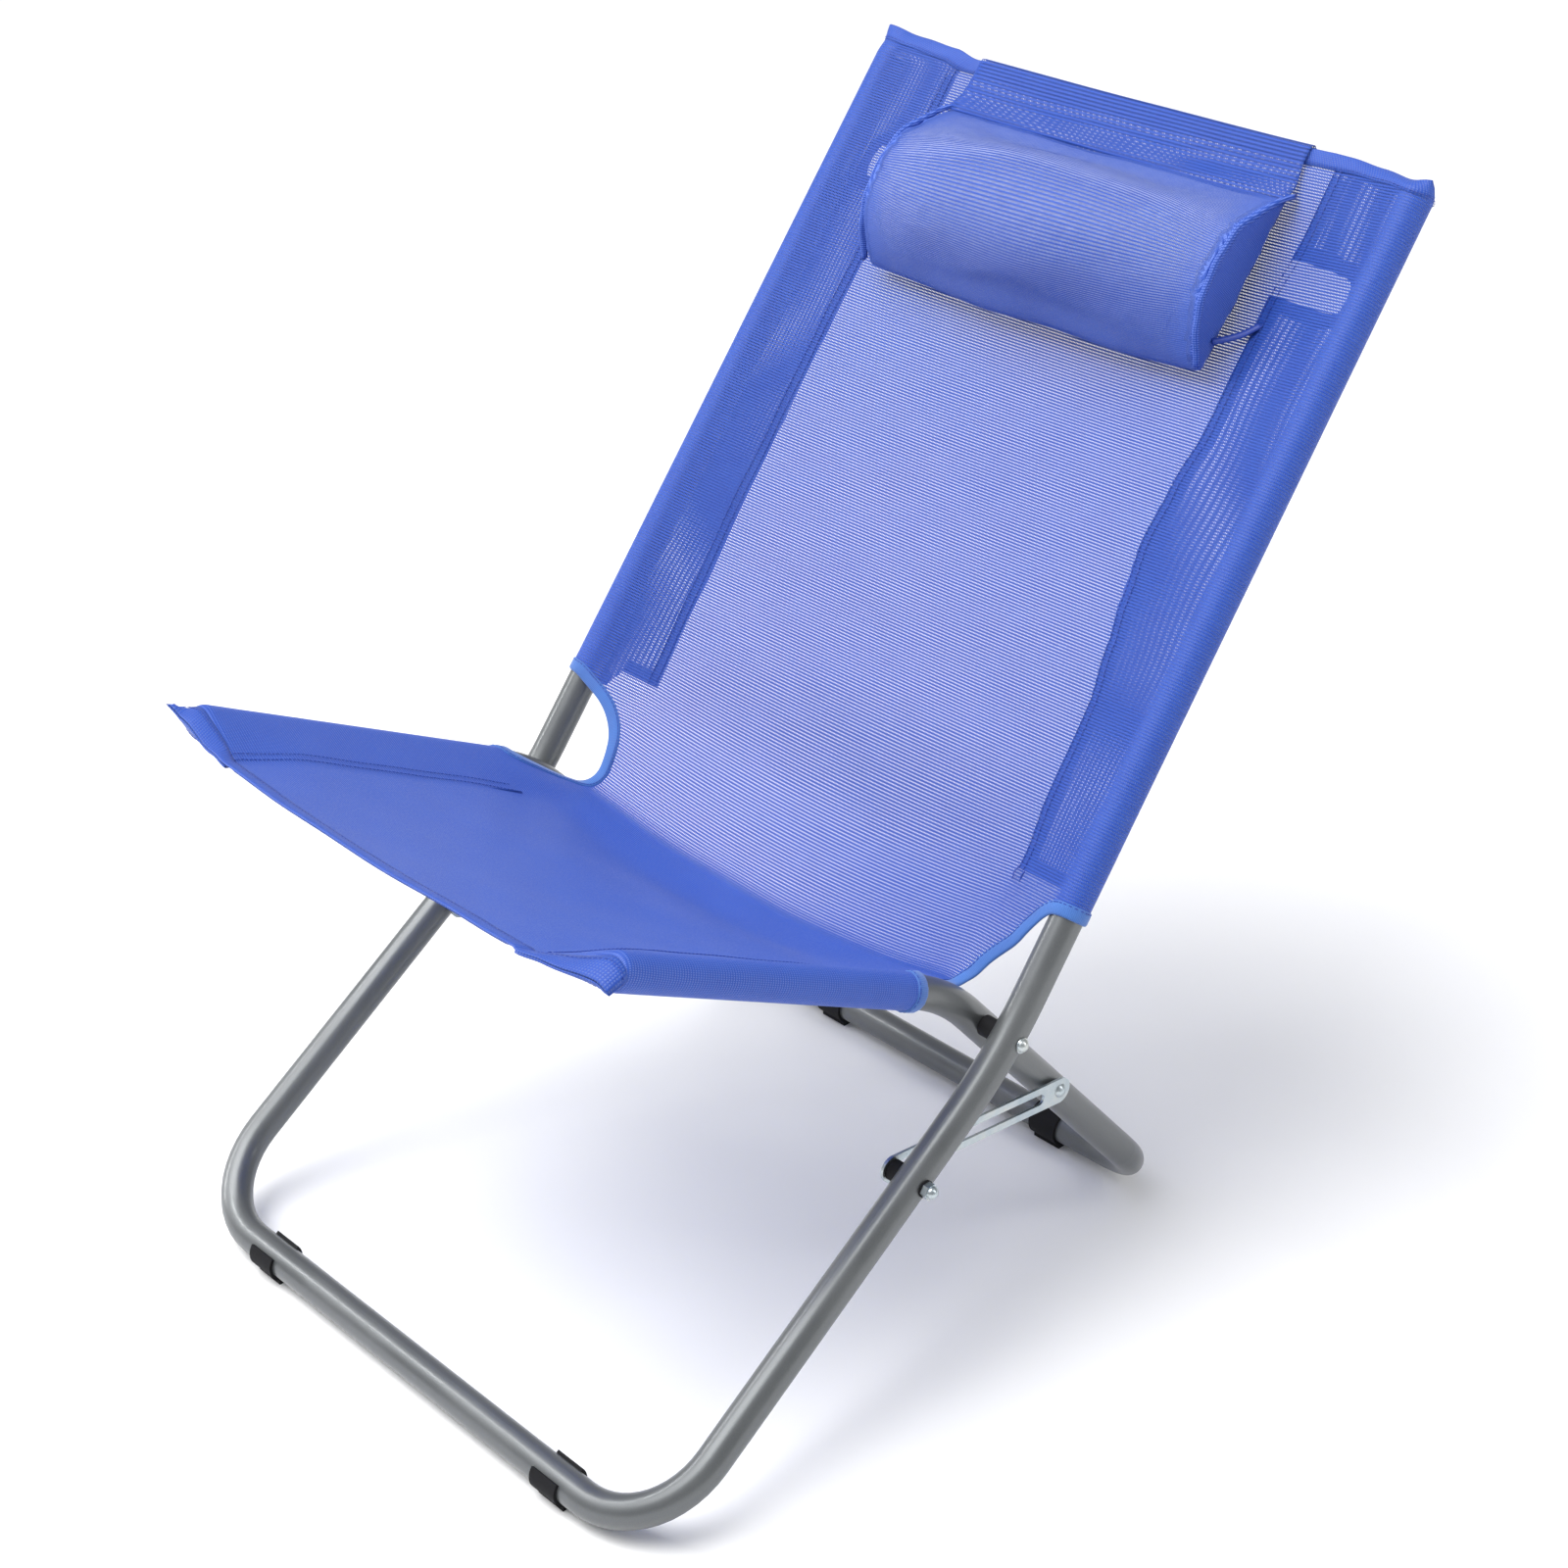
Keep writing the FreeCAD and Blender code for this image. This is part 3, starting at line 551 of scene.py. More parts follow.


class Maker:
    """A new material, with short calls for its node tree."""

    def __init__(self, name):
        self.material = bpy.data.materials.new(name)
        self.material.use_nodes = True
        self.tree = self.material.node_tree
        self.shader = self.tree.nodes["Principled BSDF"]

    def node(self, kind, **settings):
        made = self.tree.nodes.new(kind)
        for key, value in settings.items():
            setattr(made, key, value)
        return made

    def link(self, source, target):
        self.tree.links.new(source, target)

    def set(self, socket, value):
        self.shader.inputs[socket].default_value = value

    def maths(self, operation, first, second=None):
        made = self.node("ShaderNodeMath", operation=operation)
        for socket, value in zip(made.inputs, (first, second)):
            if value is None:
                continue
            if hasattr(value, "is_linked"):
                self.link(value, socket)
            else:
                socket.default_value = value
        return made.outputs[0]

    def weighted(self, first, first_share, second, second_share):
        return self.maths("ADD", self.maths("MULTIPLY", first, first_share),
                          self.maths("MULTIPLY", second, second_share))

    def ramp(self, source, stops):
        made = self.node("ShaderNodeValToRGB")
        elements = made.color_ramp.elements
        while len(elements) < len(stops):
            elements.new(0.5)
        for element, (place, colour) in zip(elements, stops):
            element.position = place
            element.color = (*colour, 1.0)
        self.link(source, made.inputs[0])
        return made.outputs[0]

    def colour(self, source, stops):
        self.link(self.ramp(source, stops), self.shader.inputs["Base Color"])

    def noise(self, scale, detail, coords=None):
        made = self.node("ShaderNodeTexNoise")
        made.inputs["Scale"].default_value = scale
        made.inputs["Detail"].default_value = detail
        self.link(coords or self.object_coords(), made.inputs["Vector"])
        return made.outputs["Fac"]

    def object_coords(self):
        return self.node("ShaderNodeTexCoord").outputs["Object"]

    def uv(self):
        split = self.node("ShaderNodeSeparateXYZ")
        self.link(self.node("ShaderNodeUVMap", uv_map="Weave").outputs[0], split.inputs[0])
        return split.outputs[0], split.outputs[1]

    def wave(self, value, pitch):
        """A 0 to 1 wave, 1 on each thread's middle."""
        turned = self.maths("MULTIPLY", value, 2.0 * math.pi / pitch)
        made = self.node("ShaderNodeMath", operation="MULTIPLY_ADD")
        self.link(self.maths("COSINE", turned), made.inputs[0])
        made.inputs[1].default_value = 0.5
        made.inputs[2].default_value = 0.5
        return made.outputs[0]

    def step(self, value, low, high):
        """0 below low, 1 above high, eased between."""
        made = self.node("ShaderNodeMapRange", interpolation_type="SMOOTHSTEP")
        made.inputs["From Min"].default_value = low
        made.inputs["From Max"].default_value = high
        self.link(value, made.inputs["Value"])
        return made.outputs["Result"]

    def roughness(self, value, low, high):
        self.link(self.step(value, low, high), self.shader.inputs["Roughness"])

    def bump(self, height, strength, distance):
        made = self.node("ShaderNodeBump")
        made.inputs["Strength"].default_value = strength
        made.inputs["Distance"].default_value = distance
        self.link(height, made.inputs["Height"])
        self.link(made.outputs["Normal"], self.shader.inputs["Normal"])


def mesh_cloth(name, weft_cover, warp_cover, weft_pitch, warp_pitch):
    """Open PVC-coated mesh: thick threads across, fine threads along, holes between them. A
    cover is the part of its pitch that a thread takes up."""
    make = Maker(name)
    u, v = make.uv()
    across = make.wave(v, weft_pitch)
    along = make.wave(u, warp_pitch)
    soft = 0.14
    weft_edge = 0.5 + 0.5 * math.cos(math.pi * weft_cover)
    warp_edge = 0.5 + 0.5 * math.cos(math.pi * warp_cover)
    weft_on = make.step(across, weft_edge - soft, weft_edge + soft)
    warp_on = make.step(along, warp_edge - soft, warp_edge + soft)
    cover = make.maths("MAXIMUM", weft_on, make.maths("MULTIPLY", warp_on, 0.96))
    # where closeness is set the holes show the pale gap colour: on the sleeves' outer faces this is a
    # painted highlight, on the pillow painted shade
    closed = make.node("ShaderNodeAttribute", attribute_name="closeness").outputs["Fac"]
    make.link(make.maths("MAXIMUM", cover, closed), make.shader.inputs["Alpha"])
    cloudy = make.noise(40.0, 5.0)
    fine = make.noise(900.0, 2.0)
    tone = make.weighted(cloudy, 0.2, fine, 0.8)
    thread = make.ramp(tone, [(0.25, THREAD_DARK), (0.78, THREAD_LIGHT)])
    mixed = make.node("ShaderNodeMix", data_type="RGBA")
    make.link(cover, mixed.inputs["Factor"])
    mixed.inputs[6].default_value = (*GAP_PALE, 1.0)    # colours A and B of the mix
    make.link(thread, mixed.inputs[7])
    make.link(mixed.outputs[2], make.shader.inputs["Base Color"])
    make.roughness(fine, -0.6, 1.6)
    make.bump(make.maths("ADD", across, make.maths("MULTIPLY", along, 0.5)), 0.5, 0.0003)
    make.set("Specular IOR Level", 0.28)
    make.set("Sheen Weight", 0.06)
    make.set("Sheen Roughness", 0.4)
    return make.material


def woven_tape(name):
    """Close woven binding tape with a ribbed face."""
    make = Maker(name)
    u, v = make.uv()
    rib = make.wave(v, 0.0011)
    grain = make.wave(u, 0.0008)
    worn = make.noise(60.0, 4.0)
    tone = make.weighted(make.maths("MULTIPLY", rib, grain), 0.45, worn, 0.6)
    make.colour(tone, [(0.2, (0.024, 0.095, 0.36)), (0.85, (0.065, 0.20, 0.56))])
    make.roughness(worn, -0.8, 1.3)
    make.bump(make.maths("ADD", rib, make.maths("MULTIPLY", grain, 0.6)), 0.6, 0.0002)
    make.set("Sheen Weight", 0.25)
    return make.material


def twisted_thread(name):
    make = Maker(name)
    twist = make.noise(1500.0, 2.0)
    make.colour(twist, [(0.3, (0.008, 0.030, 0.24)), (0.7, (0.020, 0.062, 0.38))])
    make.roughness(twist, -0.5, 1.6)
    make.bump(twist, 0.4, 0.0002)
    return make.material


def fibre_fill(name):
    """Pale polyester filling seen through the pillow's mesh cover."""
    make = Maker(name)
    tufts = make.noise(120.0, 5.0)
    make.colour(tufts, [(0.25, (0.62, 0.66, 0.80)), (0.75, (0.86, 0.88, 0.95))])
    make.roughness(tufts, -1.0, 1.1)
    make.bump(tufts, 0.5, 0.001)
    make.set("Sheen Weight", 0.3)
    return make.material


def painted_tube(name):
    """Satin grey powder paint with fine texture and rubbed patches."""
    make = Maker(name)
    grain = make.noise(1400.0, 2.0)
    patches = make.noise(14.0, 5.0)
    tone = make.weighted(grain, 0.35, patches, 0.65)
    make.colour(tone, [(0.30, (0.112, 0.120, 0.124)), (0.70, (0.152, 0.160, 0.164))])
    make.roughness(patches, -0.9, 2.3)
    make.bump(grain, 0.12, 0.0001)
    make.set("Metallic", 0.55)
    make.set("Coat Weight", 0.30)
    make.set("Coat Roughness", 0.16)
    return make.material


def zinc_plate(name):
    """Bright zinc with rolling marks and faint blue and straw patches."""
    make = Maker(name)
    stretched = make.node("ShaderNodeMapping")
    make.link(make.object_coords(), stretched.inputs["Vector"])
    stretched.inputs["Scale"].default_value = (1.0, 9.0, 9.0)
    streaks = make.noise(180.0, 3.0, stretched.outputs[0])
    patches = make.noise(70.0, 4.0)
    make.colour(patches, [(0.3, (0.36, 0.43, 0.47)), (0.55, (0.46, 0.51, 0.53)),
                          (0.8, (0.54, 0.55, 0.52))])
    make.roughness(streaks, -0.6, 2.2)
    make.bump(streaks, 0.15, 0.0001)
    make.set("Metallic", 1.0)
    return make.material


def moulded_plastic(name):
    """Black moulded plastic with a fine grain and scuffs."""
    make = Maker(name)
    grain = make.noise(2200.0, 2.0)
    scuffs = make.noise(90.0, 5.0)
    make.colour(scuffs, [(0.35, (0.004, 0.004, 0.005)), (0.8, (0.012, 0.012, 0.014))])
    make.roughness(scuffs, -1.1, 1.3)
    make.bump(grain, 0.25, 0.0001)
    make.set("Specular IOR Level", 0.22)
    return make.material


cloth_material = mesh_cloth("mesh_cloth", 0.54, 0.45, WEFT_PITCH, WARP_PITCH)
cover_material = mesh_cloth("pillow_mesh", 0.47, 0.33, 0.0016, 0.0011)
tape_material = woven_tape("binding_tape")
seam_thread = twisted_thread("seam_thread")
fill_material = fibre_fill("pillow_fill")

# CAD parts by the start of their names.
CAD_FINISHES = [
    (painted_tube("grey_paint"), ("back_frame_tube", "seat_frame_tube")),
    (zinc_plate("zinc_steel"), ("pivot_rivet", "stop_bolt", "stop_cap_nut", "link_rivet",
                                "slotted_link")),
    (moulded_plastic("black_plastic"), ("back_plug", "seat_plug", "front_foot", "rear_foot",
                                        "pivot_spacer", "stop_spacer", "stop_washer", "link_washer")),
]
for material, stems in CAD_FINISHES:
    for node_name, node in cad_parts.items():
        if node_name.startswith(stems):
            for material_slot in node.material_slots:
                material_slot.material = material


def finish_piece(obj, material, body):
    """Material and body of a piece; a piece of body "both" is left without a parent, its transform baked
    into its mesh.
    """
    obj.data.materials.append(material)
    if body == "both":
        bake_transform(obj)
    else:
        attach(obj, body)
    return obj


def weave_coords(flat):
    """Cloth coordinates for the weave; the strips folded behind are pulled and lie a little askew."""
    coords = flat.copy()
    beyond = np.clip(np.abs(flat[:, 0]) - WEAVE_LIMIT, 0.0, None)
    slant = 0.0009 * np.sin(11.0 * flat[:, 1]) + 0.0004 * np.sin(43.0 * flat[:, 1])
    askew = smooth(beyond / 0.02)
    coords[:, 0] += np.sign(flat[:, 0]) * slant * askew
    coords[:, 1] += (0.0005 + 0.03 * beyond + 0.0004 * np.sin(37.0 * flat[:, 1])) * askew
    return coords


def set_closeness(obj, values):
    """How far the weave's holes are closed, 0 to 1, for the cloth material."""
    layer = obj.data.attributes.new("closeness", "FLOAT", "POINT")
    layer.data.foreach_set("value", np.asarray(values, np.float32))


def sling_closeness(flat):
    """The weave is drawn close over the seat. On the outer faces of the sleeves its holes are filled with
    the pale gap colour as a painted highlight of the lit tube inside.
    """
    across = np.abs(flat[:, 0])
    on_seat = smooth((v_middle - SEAT_CLOSED_GAP - flat[:, 1]) / SEAT_CLOSED_FADE)
    past_first = smooth((across - OUTER_BAND[0]) / SLEEVE_PAINTED_HIGHLIGHT_FADE)
    before_last = smooth((OUTER_BAND[1] - across) / SLEEVE_PAINTED_HIGHLIGHT_FADE)
    return np.maximum(SEAT_CLOSED * on_seat, SLEEVE_PAINTED_HIGHLIGHT * past_first * before_last)


front_end = 0.012              # the flattened ends lie beyond these two rows
top_end = v_pivot + 0.588
rows = np.concatenate([np.arange(-0.020, front_end, END_GRID), np.arange(front_end, top_end, GRID),
                       np.arange(top_end, v_pivot + 0.622, END_GRID)])
flat, triangles, boundary = flat_mesh(sling_outline(), grid_columns(0.35), rows)
sling = new_object("sling", sling_point(flat[:, 0], flat[:, 1]), triangles)
set_uv(sling, weave_coords(flat))
set_closeness(sling, sling_closeness(flat))
finish_piece(sling, cloth_material, "both")
thicken(sling)
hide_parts("back_panel", "seat_panel", "back_sleeve_left", "back_sleeve_right",
            "seat_sleeve_left", "seat_sleeve_right")


# ---------------- ribbons on the sling
def lengths_along(line):
    """Length from a line's first point to each of its points."""
    return np.concatenate([[0.0], np.cumsum(np.linalg.norm(np.diff(line, axis=0), axis=1))])


def line_frame(line, inward):
    """Points of a flat line with unit normals on one side of it."""
    line = np.asarray(line, float)
    ahead = np.gradient(line, axis=0)
    normal = np.column_stack([-ahead[:, 1], ahead[:, 0]]) * inward
    return line, normal / np.linalg.norm(normal, axis=1, keepdims=True)


def ribbon(name, line, inward, profile, closed=True):
    """Sweep an (inset, lift) profile along a line on the sling's surface."""
    line, normal = line_frame(line, inward)
    run = lengths_along(line)
    verts, coords = [], []
    for inset, lift in profile:
        place = line + normal * inset
        verts.append(sling_point(place[:, 0], place[:, 1])
                     + sling_normal(line[:, 0], line[:, 1]) * lift)
        coords.append(np.column_stack([np.full(len(line), inset), run]))
    verts = np.stack(verts, axis=1)
    obj = new_object(name, verts.reshape(-1, 3), band_faces(len(line), len(profile), closed))
    set_uv(obj, np.stack(coords, axis=1).reshape(-1, 2))
    return obj


# Folded round the cut edge: (inset, lift) from the outer face round to the inner one.
TAPE_PROFILE = [(TAPE_WIDTH, 0.0005), (TAPE_WIDTH - 0.0004, 0.0011), (0.005, 0.0013),
                (0.001, 0.0013), (-0.0003, 0.0009), (-0.0009, 0.0), (-0.0003, -0.0009),
                (0.001, -0.0013), (0.005, -0.0013), (TAPE_WIDTH - 0.0004, -0.0011),
                (TAPE_WIDTH, -0.0005)]

cutouts = {name: cutout_line(side) * [side, 1.0] for name, side in SIDES.items()}
for name, side in SIDES.items():
    tape = ribbon("cutout_tape_" + name, cutouts[name], side, TAPE_PROFILE)
    finish_piece(tape, tape_material, "both")
    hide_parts("back_binding_" + name, "seat_binding_" + name)


# ---------------- hems
def whole_hem(back):
    """A sealed end's line over both layers, from the -X sleeve's underside to the +X one."""
    right = [(-u, v) for u, v in hem_line(-1.0, back)]
    return np.array(right[::-1] + hem_line(1.0, back)[1:])


def cloth_ribbon(name, line, inward, profile, body):
    """A folded band of the sling's own cloth, its weave along the band."""
    obj = ribbon(name, line, inward, profile, closed=False)
    set_closeness(obj, np.full(len(obj.data.vertices), HEM_CLOSED))
    thicken(obj)
    finish_piece(obj, cloth_material, body)


# Hem profiles are (inset, lift): the outer one goes over the edge, the other two lie behind.
HEM_OUTSIDE = [(HEM_WIDTH, 0.0006), (HEM_WIDTH * 0.6, 0.0009), (HEM_WIDTH * 0.25, 0.0011),
               (0.0, 0.0010), (-0.0008, 0.0003), (-0.0006, -0.0004)]
HEM_TURNED_IN = [(0.0, -0.0009), (HEM_WIDTH * 0.25, -0.0011), (HEM_WIDTH, -0.0008)]
STRIP_FOLD = [(0.0, -0.0008), (STRIP_HEM * 0.5, -0.0013), (STRIP_HEM, -0.0009)]
TURNED_IN_HALF = 0.150         # the turned-in part spans the panel between the sleeves

ENDS = {"top_hem": (True, -1.0, "back_frame"), "front_hem": (False, 1.0, "seat_frame")}
for name, (back, inward, body) in ENDS.items():
    hem = whole_hem(back)
    cloth_ribbon(name, hem, inward, HEM_OUTSIDE, body)
    middle = hem[np.abs(hem[:, 0]) < TURNED_IN_HALF]
    cloth_ribbon(name + "_turned_in", middle, inward, HEM_TURNED_IN, body)

for name, side in SIDES.items():
    strips = {"back": strip_line_back(side), "seat": strip_line_seat()}
    for part, strip in strips.items():
        line = spaced(np.array(strip) * [side, 1.0], 0.004)
        cloth_ribbon(f"{part}_strip_hem_{name}", line, side, STRIP_FOLD, part + "_frame")


# ---------------- stitching
STITCH_LENGTH = 0.0024
STITCH_PITCH = 0.0031


def unit_stitch():
    """A stitch along +X, six-sided and with tapered ends, 1 long and about 1 in radius."""
    rings = [(-0.5, 0.35), (-0.38, 0.9), (0.38, 0.9), (0.5, 0.35)]
    verts = []
    for x, radius in rings:
        for k in range(6):
            angle = k * math.pi / 3
            verts.append((x, radius * math.cos(angle), radius * math.sin(angle)))
    return np.array(verts), band_faces(len(rings), 6)


def stitches(name, rows, body, radius, lift):
    """Rows of stitches lying on the sling's outer face, as one piece."""
    unit_verts, unit_faces = unit_stitch()
    verts, faces = [], []
    for row in rows:
        row = spaced(row, STITCH_PITCH)
        points = sling_point(row[:, 0], row[:, 1])
        normals = sling_normal(row[:, 0], row[:, 1])
        for index in range(len(row) - 1):
            ahead = points[index + 1] - points[index]
            if not 0.3 * STITCH_PITCH < np.linalg.norm(ahead) < 3.0 * STITCH_PITCH:
                continue
            ahead = unit(ahead)
            up = unit(normals[index] - ahead * (normals[index] @ ahead))
            side = np.cross(up, ahead)
            place = (points[index] + points[index + 1]) / 2 + up * lift
            base = len(verts)
            for x, y, z in unit_verts:
                verts.append(place + ahead * x * STITCH_LENGTH + side * y * radius + up * z * radius)
            faces.extend(tuple(base + k for k in face) for face in unit_faces)
    obj = new_object(name, verts, faces)
    finish_piece(obj, seam_thread, body)


def inset_line(line, inward, inset):
    """The same line moved sideways on the cloth."""
    line, normal = line_frame(line, inward)
    return line + normal * inset


def seam_rows(side, back):
    """The two rows that hold a doubled strip, on the sling's front face."""
    if back:
        places = np.arange(BACK_STRIP_END, TOP_HEM_MIDDLE - 0.005, 0.01)
        stitch = back_stitch(places, side)
        places = places + v_pivot
    else:
        places = np.arange(0.0, SEAT_STRIP_END, 0.01)
        stitch = table(places, SEAT_STITCH_X)
    return [np.column_stack([side * (stitch + inset), places]) for inset in STITCH_INSETS]


for part, back, inward in (("back", True, -1.0), ("seat", False, 1.0)):
    rows = seam_rows(1.0, back) + seam_rows(-1.0, back)
    rows.append(inset_line(whole_hem(back), inward, HEM_WIDTH - 0.002))
    stitches(part + "_stitching", rows, part + "_frame", radius=0.00032, lift=0.0009)
for name, side in SIDES.items():
    rows = [inset_line(cutouts[name], side, TAPE_WIDTH - 0.0012)]
    stitches("cutout_stitching_" + name, rows, "both", radius=0.00038, lift=0.0012)


# ---------------- places on the back
def back_place(x, s, lift):
    """Point of the chair at x, distance s up the back rail and a lift off its level."""
    side_point = PIVOT + back_dir * s + back_normal * lift
    return np.array([x, side_point[0], side_point[1]])


def strand(name, places, radius, width=1.0):
    """A soft cord or flat tape by the back, through a few (x, s, lift) places, width times as
    wide as it is thick."""
    sides = 8
    points = np.array([back_place(*place) for place in places])
    share = np.linspace(0, len(points) - 1, 8 * (len(points) - 1) + 1)
    line = np.column_stack([np.interp(share, range(len(points)), points[:, k]) for k in range(3)])
    for _ in range(6):
        line[1:-1] = (line[:-2] + 2 * line[1:-1] + line[2:]) / 4
    verts = []
    for index, point in enumerate(line):
        ahead = unit(line[min(index + 1, len(line) - 1)] - line[max(index - 1, 0)])
        across = unit(np.cross(ahead, np.array([0.0, back_normal[0], back_normal[1]])))
        up = np.cross(across, ahead)
        for k in range(sides):
            angle = 2 * math.pi * k / sides
            verts.append(point + across * radius * width * math.cos(angle) + up * radius * math.sin(angle))
    obj = new_object(name, verts, band_faces(len(line), sides))
    return finish_piece(obj, seam_thread, "back_frame")


for number, tail_x in enumerate(TAIL_XS, 1):
    tail = [(tail_x + x, s, lift) for x, s, lift in TAIL_LINE]
    strand(f"thread_tail_{number}", tail, TAIL_RADIUS)


# ---------------- pillow
def pillow_outline():
    """The end profile as a closed line about the pillow's centre: round the crown, flat behind."""
    crown = np.array(rounded(PILLOW_PROFILE, 2))
    behind = np.linspace(crown[-1], crown[0], 16)[1:-1]
    return spaced(np.vstack([crown, behind, crown[:1]]), 0.004)[:-1] - PILLOW_CENTRE


pillow_line = pillow_outline()
pillow_radii = np.linalg.norm(pillow_line, axis=1)
pillow_girth = lengths_along(pillow_line)
seam_girth = lengths_along(np.array(PILLOW_PROFILE))[-1] - 0.014   # short of the flat side


def by_angle(values, angle):
    """A value given at each outline point, read at any angle round the centre."""
    around = np.arctan2(pillow_line[:, 1], pillow_line[:, 0])
    order = np.argsort(around)
    return np.interp(angle, around[order], values[order], period=2.0 * math.pi)


def fullness(x):
    """How much higher the crown stands at x than at the ends."""
    return 1.0 + PILLOW_CROWN * np.clip(1.0 - (x / PILLOW_HALF) ** 2, 0.0, 1.0) ** 0.9


def unfilled_pillow(name):
    """The pillow's starting shape, a little smaller than when it is filled."""
    ring_xs = np.linspace(-1.0, 1.0, 33) * (PILLOW_HALF - 0.002)
    verts = []
    for x in ring_xs:
        small = PILLOW_CENTRE + pillow_line * np.array([0.93, 0.90 * fullness(x)])
        verts.extend(back_place(x, s, max(lift, 0.004)) for s, lift in small)
    return new_object(name, verts, band_faces(len(ring_xs), len(pillow_line)))


def apply_modifiers(obj):
    """Replace the mesh by what its modifiers make of it."""
    graph = bpy.context.evaluated_depsgraph_get()
    mesh = bpy.data.meshes.new_from_object(obj.evaluated_get(graph))
    obj.modifiers.clear()
    obj.data = mesh


def remeshed(obj, voxel):
    remesh = obj.modifiers.new("Remesh", "REMESH")
    remesh.mode = "VOXEL"
    remesh.voxel_size = voxel
    apply_modifiers(obj)


def vertex_places(obj):
    places = np.zeros(len(obj.data.vertices) * 3)
    obj.data.vertices.foreach_get("co", places)
    return places.reshape(-1, 3)


def move_vertices(obj, places):
    obj.data.vertices.foreach_set("co", places.ravel())
    obj.data.update()


COVER_CLOTH = {"quality": 6, "mass": 0.2, "tension_stiffness": 18, "compression_stiffness": 12,
               "bending_stiffness": 0.6}


def inflate(obj, pressure, cap):
    """Fill a closed cloth shape with pressure, no point moving further than cap."""
    frames = 20
    before = vertex_places(obj)
    cloth = obj.modifiers.new("Cloth", "CLOTH")
    for key, value in COVER_CLOTH.items():
        setattr(cloth.settings, key, value)
    cloth.settings.use_pressure = True
    cloth.settings.uniform_pressure_force = pressure
    cloth.settings.effector_weights.gravity = 0.0
    cloth.collision_settings.use_collision = False
    scene = bpy.context.scene
    scene.frame_start, scene.frame_end = 1, frames
    for frame_number in range(1, frames + 1):
        scene.frame_set(frame_number)
    apply_modifiers(obj)
    scene.frame_set(1)
    moved = vertex_places(obj) - before
    far = np.linalg.norm(moved, axis=1, keepdims=True)
    move_vertices(obj, before + moved * np.minimum(1.0, cap / np.maximum(far, 1e-9)))


def back_coordinates(places):
    """x, distance up the back and lift of the chair's points: back_place the other way round."""
    offset = places[:, 1:] - PIVOT
    return places[:, 0], offset @ back_dir, offset @ back_normal


def keep_off_back(obj, least):
    """Flatten whatever would pass through the back's cloth."""
    places = vertex_places(obj)
    _, _, lift = back_coordinates(places)
    short = np.clip(least - lift, 0.0, None)
    places[:, 1:] += short[:, None] * back_normal
    move_vertices(obj, places)


def around_centre(places):
    """x, offset from the pillow's centre, and angle round it (0 is up the back, 90 degrees is out)."""
    x, s, lift = back_coordinates(places)
    off = np.column_stack([s, lift]) - PILLOW_CENTRE
    return x, off, np.arctan2(off[:, 1], off[:, 0])


def fit_profile(obj):
    """Ease the filled shape towards its sewn profile: fully at the ends, partly at mid width."""
    x, off, angle = around_centre(vertex_places(obj))
    radius = np.linalg.norm(off, axis=1)
    stretch = 1.0 + (fullness(x) - 1.0) * np.clip(np.sin(angle), 0.0, 1.0) ** 2
    goal = by_angle(pillow_radii, angle) * stretch
    lumps = PILLOW_LUMPS * np.sin(46.0 * x + 3.0 * angle)
    goal = goal + lumps * np.clip(1.0 - (x / 0.15) ** 2, 0.0, 1.0)
    at_end = smooth((np.abs(x) - (PILLOW_HALF - 0.012)) / 0.008)
    side_wall = np.maximum(1.0 - at_end, smooth((radius / goal - 0.80) / 0.12))
    slack = np.clip(0.35 * (radius - goal), *PILLOW_SLACK) * (1.0 - at_end)
    belly = PILLOW_BELLY * np.clip(-np.cos(angle), 0.0, 1.0) * (1.0 - (x / PILLOW_HALF) ** 2)
    goal = goal + slack + belly
    off = off * (1.0 + side_wall * (goal / np.maximum(radius, 1e-6) - 1.0))[:, None]
    share = np.clip(radius / goal, 0.0, 1.0)
    dished = PILLOW_HALF - END_DISH * (1.0 - share ** 4)
    x = np.where(np.abs(x) > PILLOW_HALF - 0.010, np.sign(x) * dished, x)
    side_points = PIVOT + np.outer(PILLOW_CENTRE[0] + off[:, 0], back_dir)
    side_points += np.outer(PILLOW_CENTRE[1] + off[:, 1], back_normal)
    move_vertices(obj, np.column_stack([x, side_points]))


pillow = unfilled_pillow("pillow_cover")
remeshed(pillow, PILLOW_VOXEL)
inflate(pillow, pressure=3.5, cap=0.010)
fit_profile(pillow)
keep_off_back(pillow, PILLOW_OFF_BACK)
relax = pillow.modifiers.new("Relax", "SMOOTH")
relax.factor = 0.5
relax.iterations = 2
subdivide = pillow.modifiers.new("Subdivision", "SUBSURF")
subdivide.levels = subdivide.render_levels = 1
apply_modifiers(pillow)
smooth_shade(pillow.data)

places = vertex_places(pillow)
x, off, angle = around_centre(places)
on_end = np.abs(x) > PILLOW_HALF - 0.007
wrapped = np.column_stack([x, by_angle(pillow_girth, angle)])
set_uv(pillow, np.where(on_end[:, None], off, wrapped))
# Painted shade: the pillow's holes close further from the lit crown and towards the ends, hiding the pale
# filling so the cover darkens where less light falls. The end panels are closed almost fully, partly as
# painted shade of panels facing away from the light and partly because little of the filling shows through
# them.
from_crown = np.degrees(np.abs(angle - math.radians(75.0)))
closed = 0.04 + 0.46 * smooth((from_crown - 25.0) / 80.0) + 0.35 * smooth((np.abs(x) - 0.125) / 0.030)
set_closeness(pillow, np.where(on_end, PILLOW_END_CLOSED, np.clip(closed, 0.0, 0.9)))
filling = new_object("pillow_filling", places, [tuple(face.vertices) for face in pillow.data.polygons])
normals = np.array([vertex.normal for vertex in pillow.data.vertices])
filling.data.vertices.foreach_set("co", (places - normals * FILL_DEPTH).ravel())
finish_piece(filling, fill_material, "back_frame")
finish_piece(pillow, cover_material, "back_frame")
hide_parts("pillow")


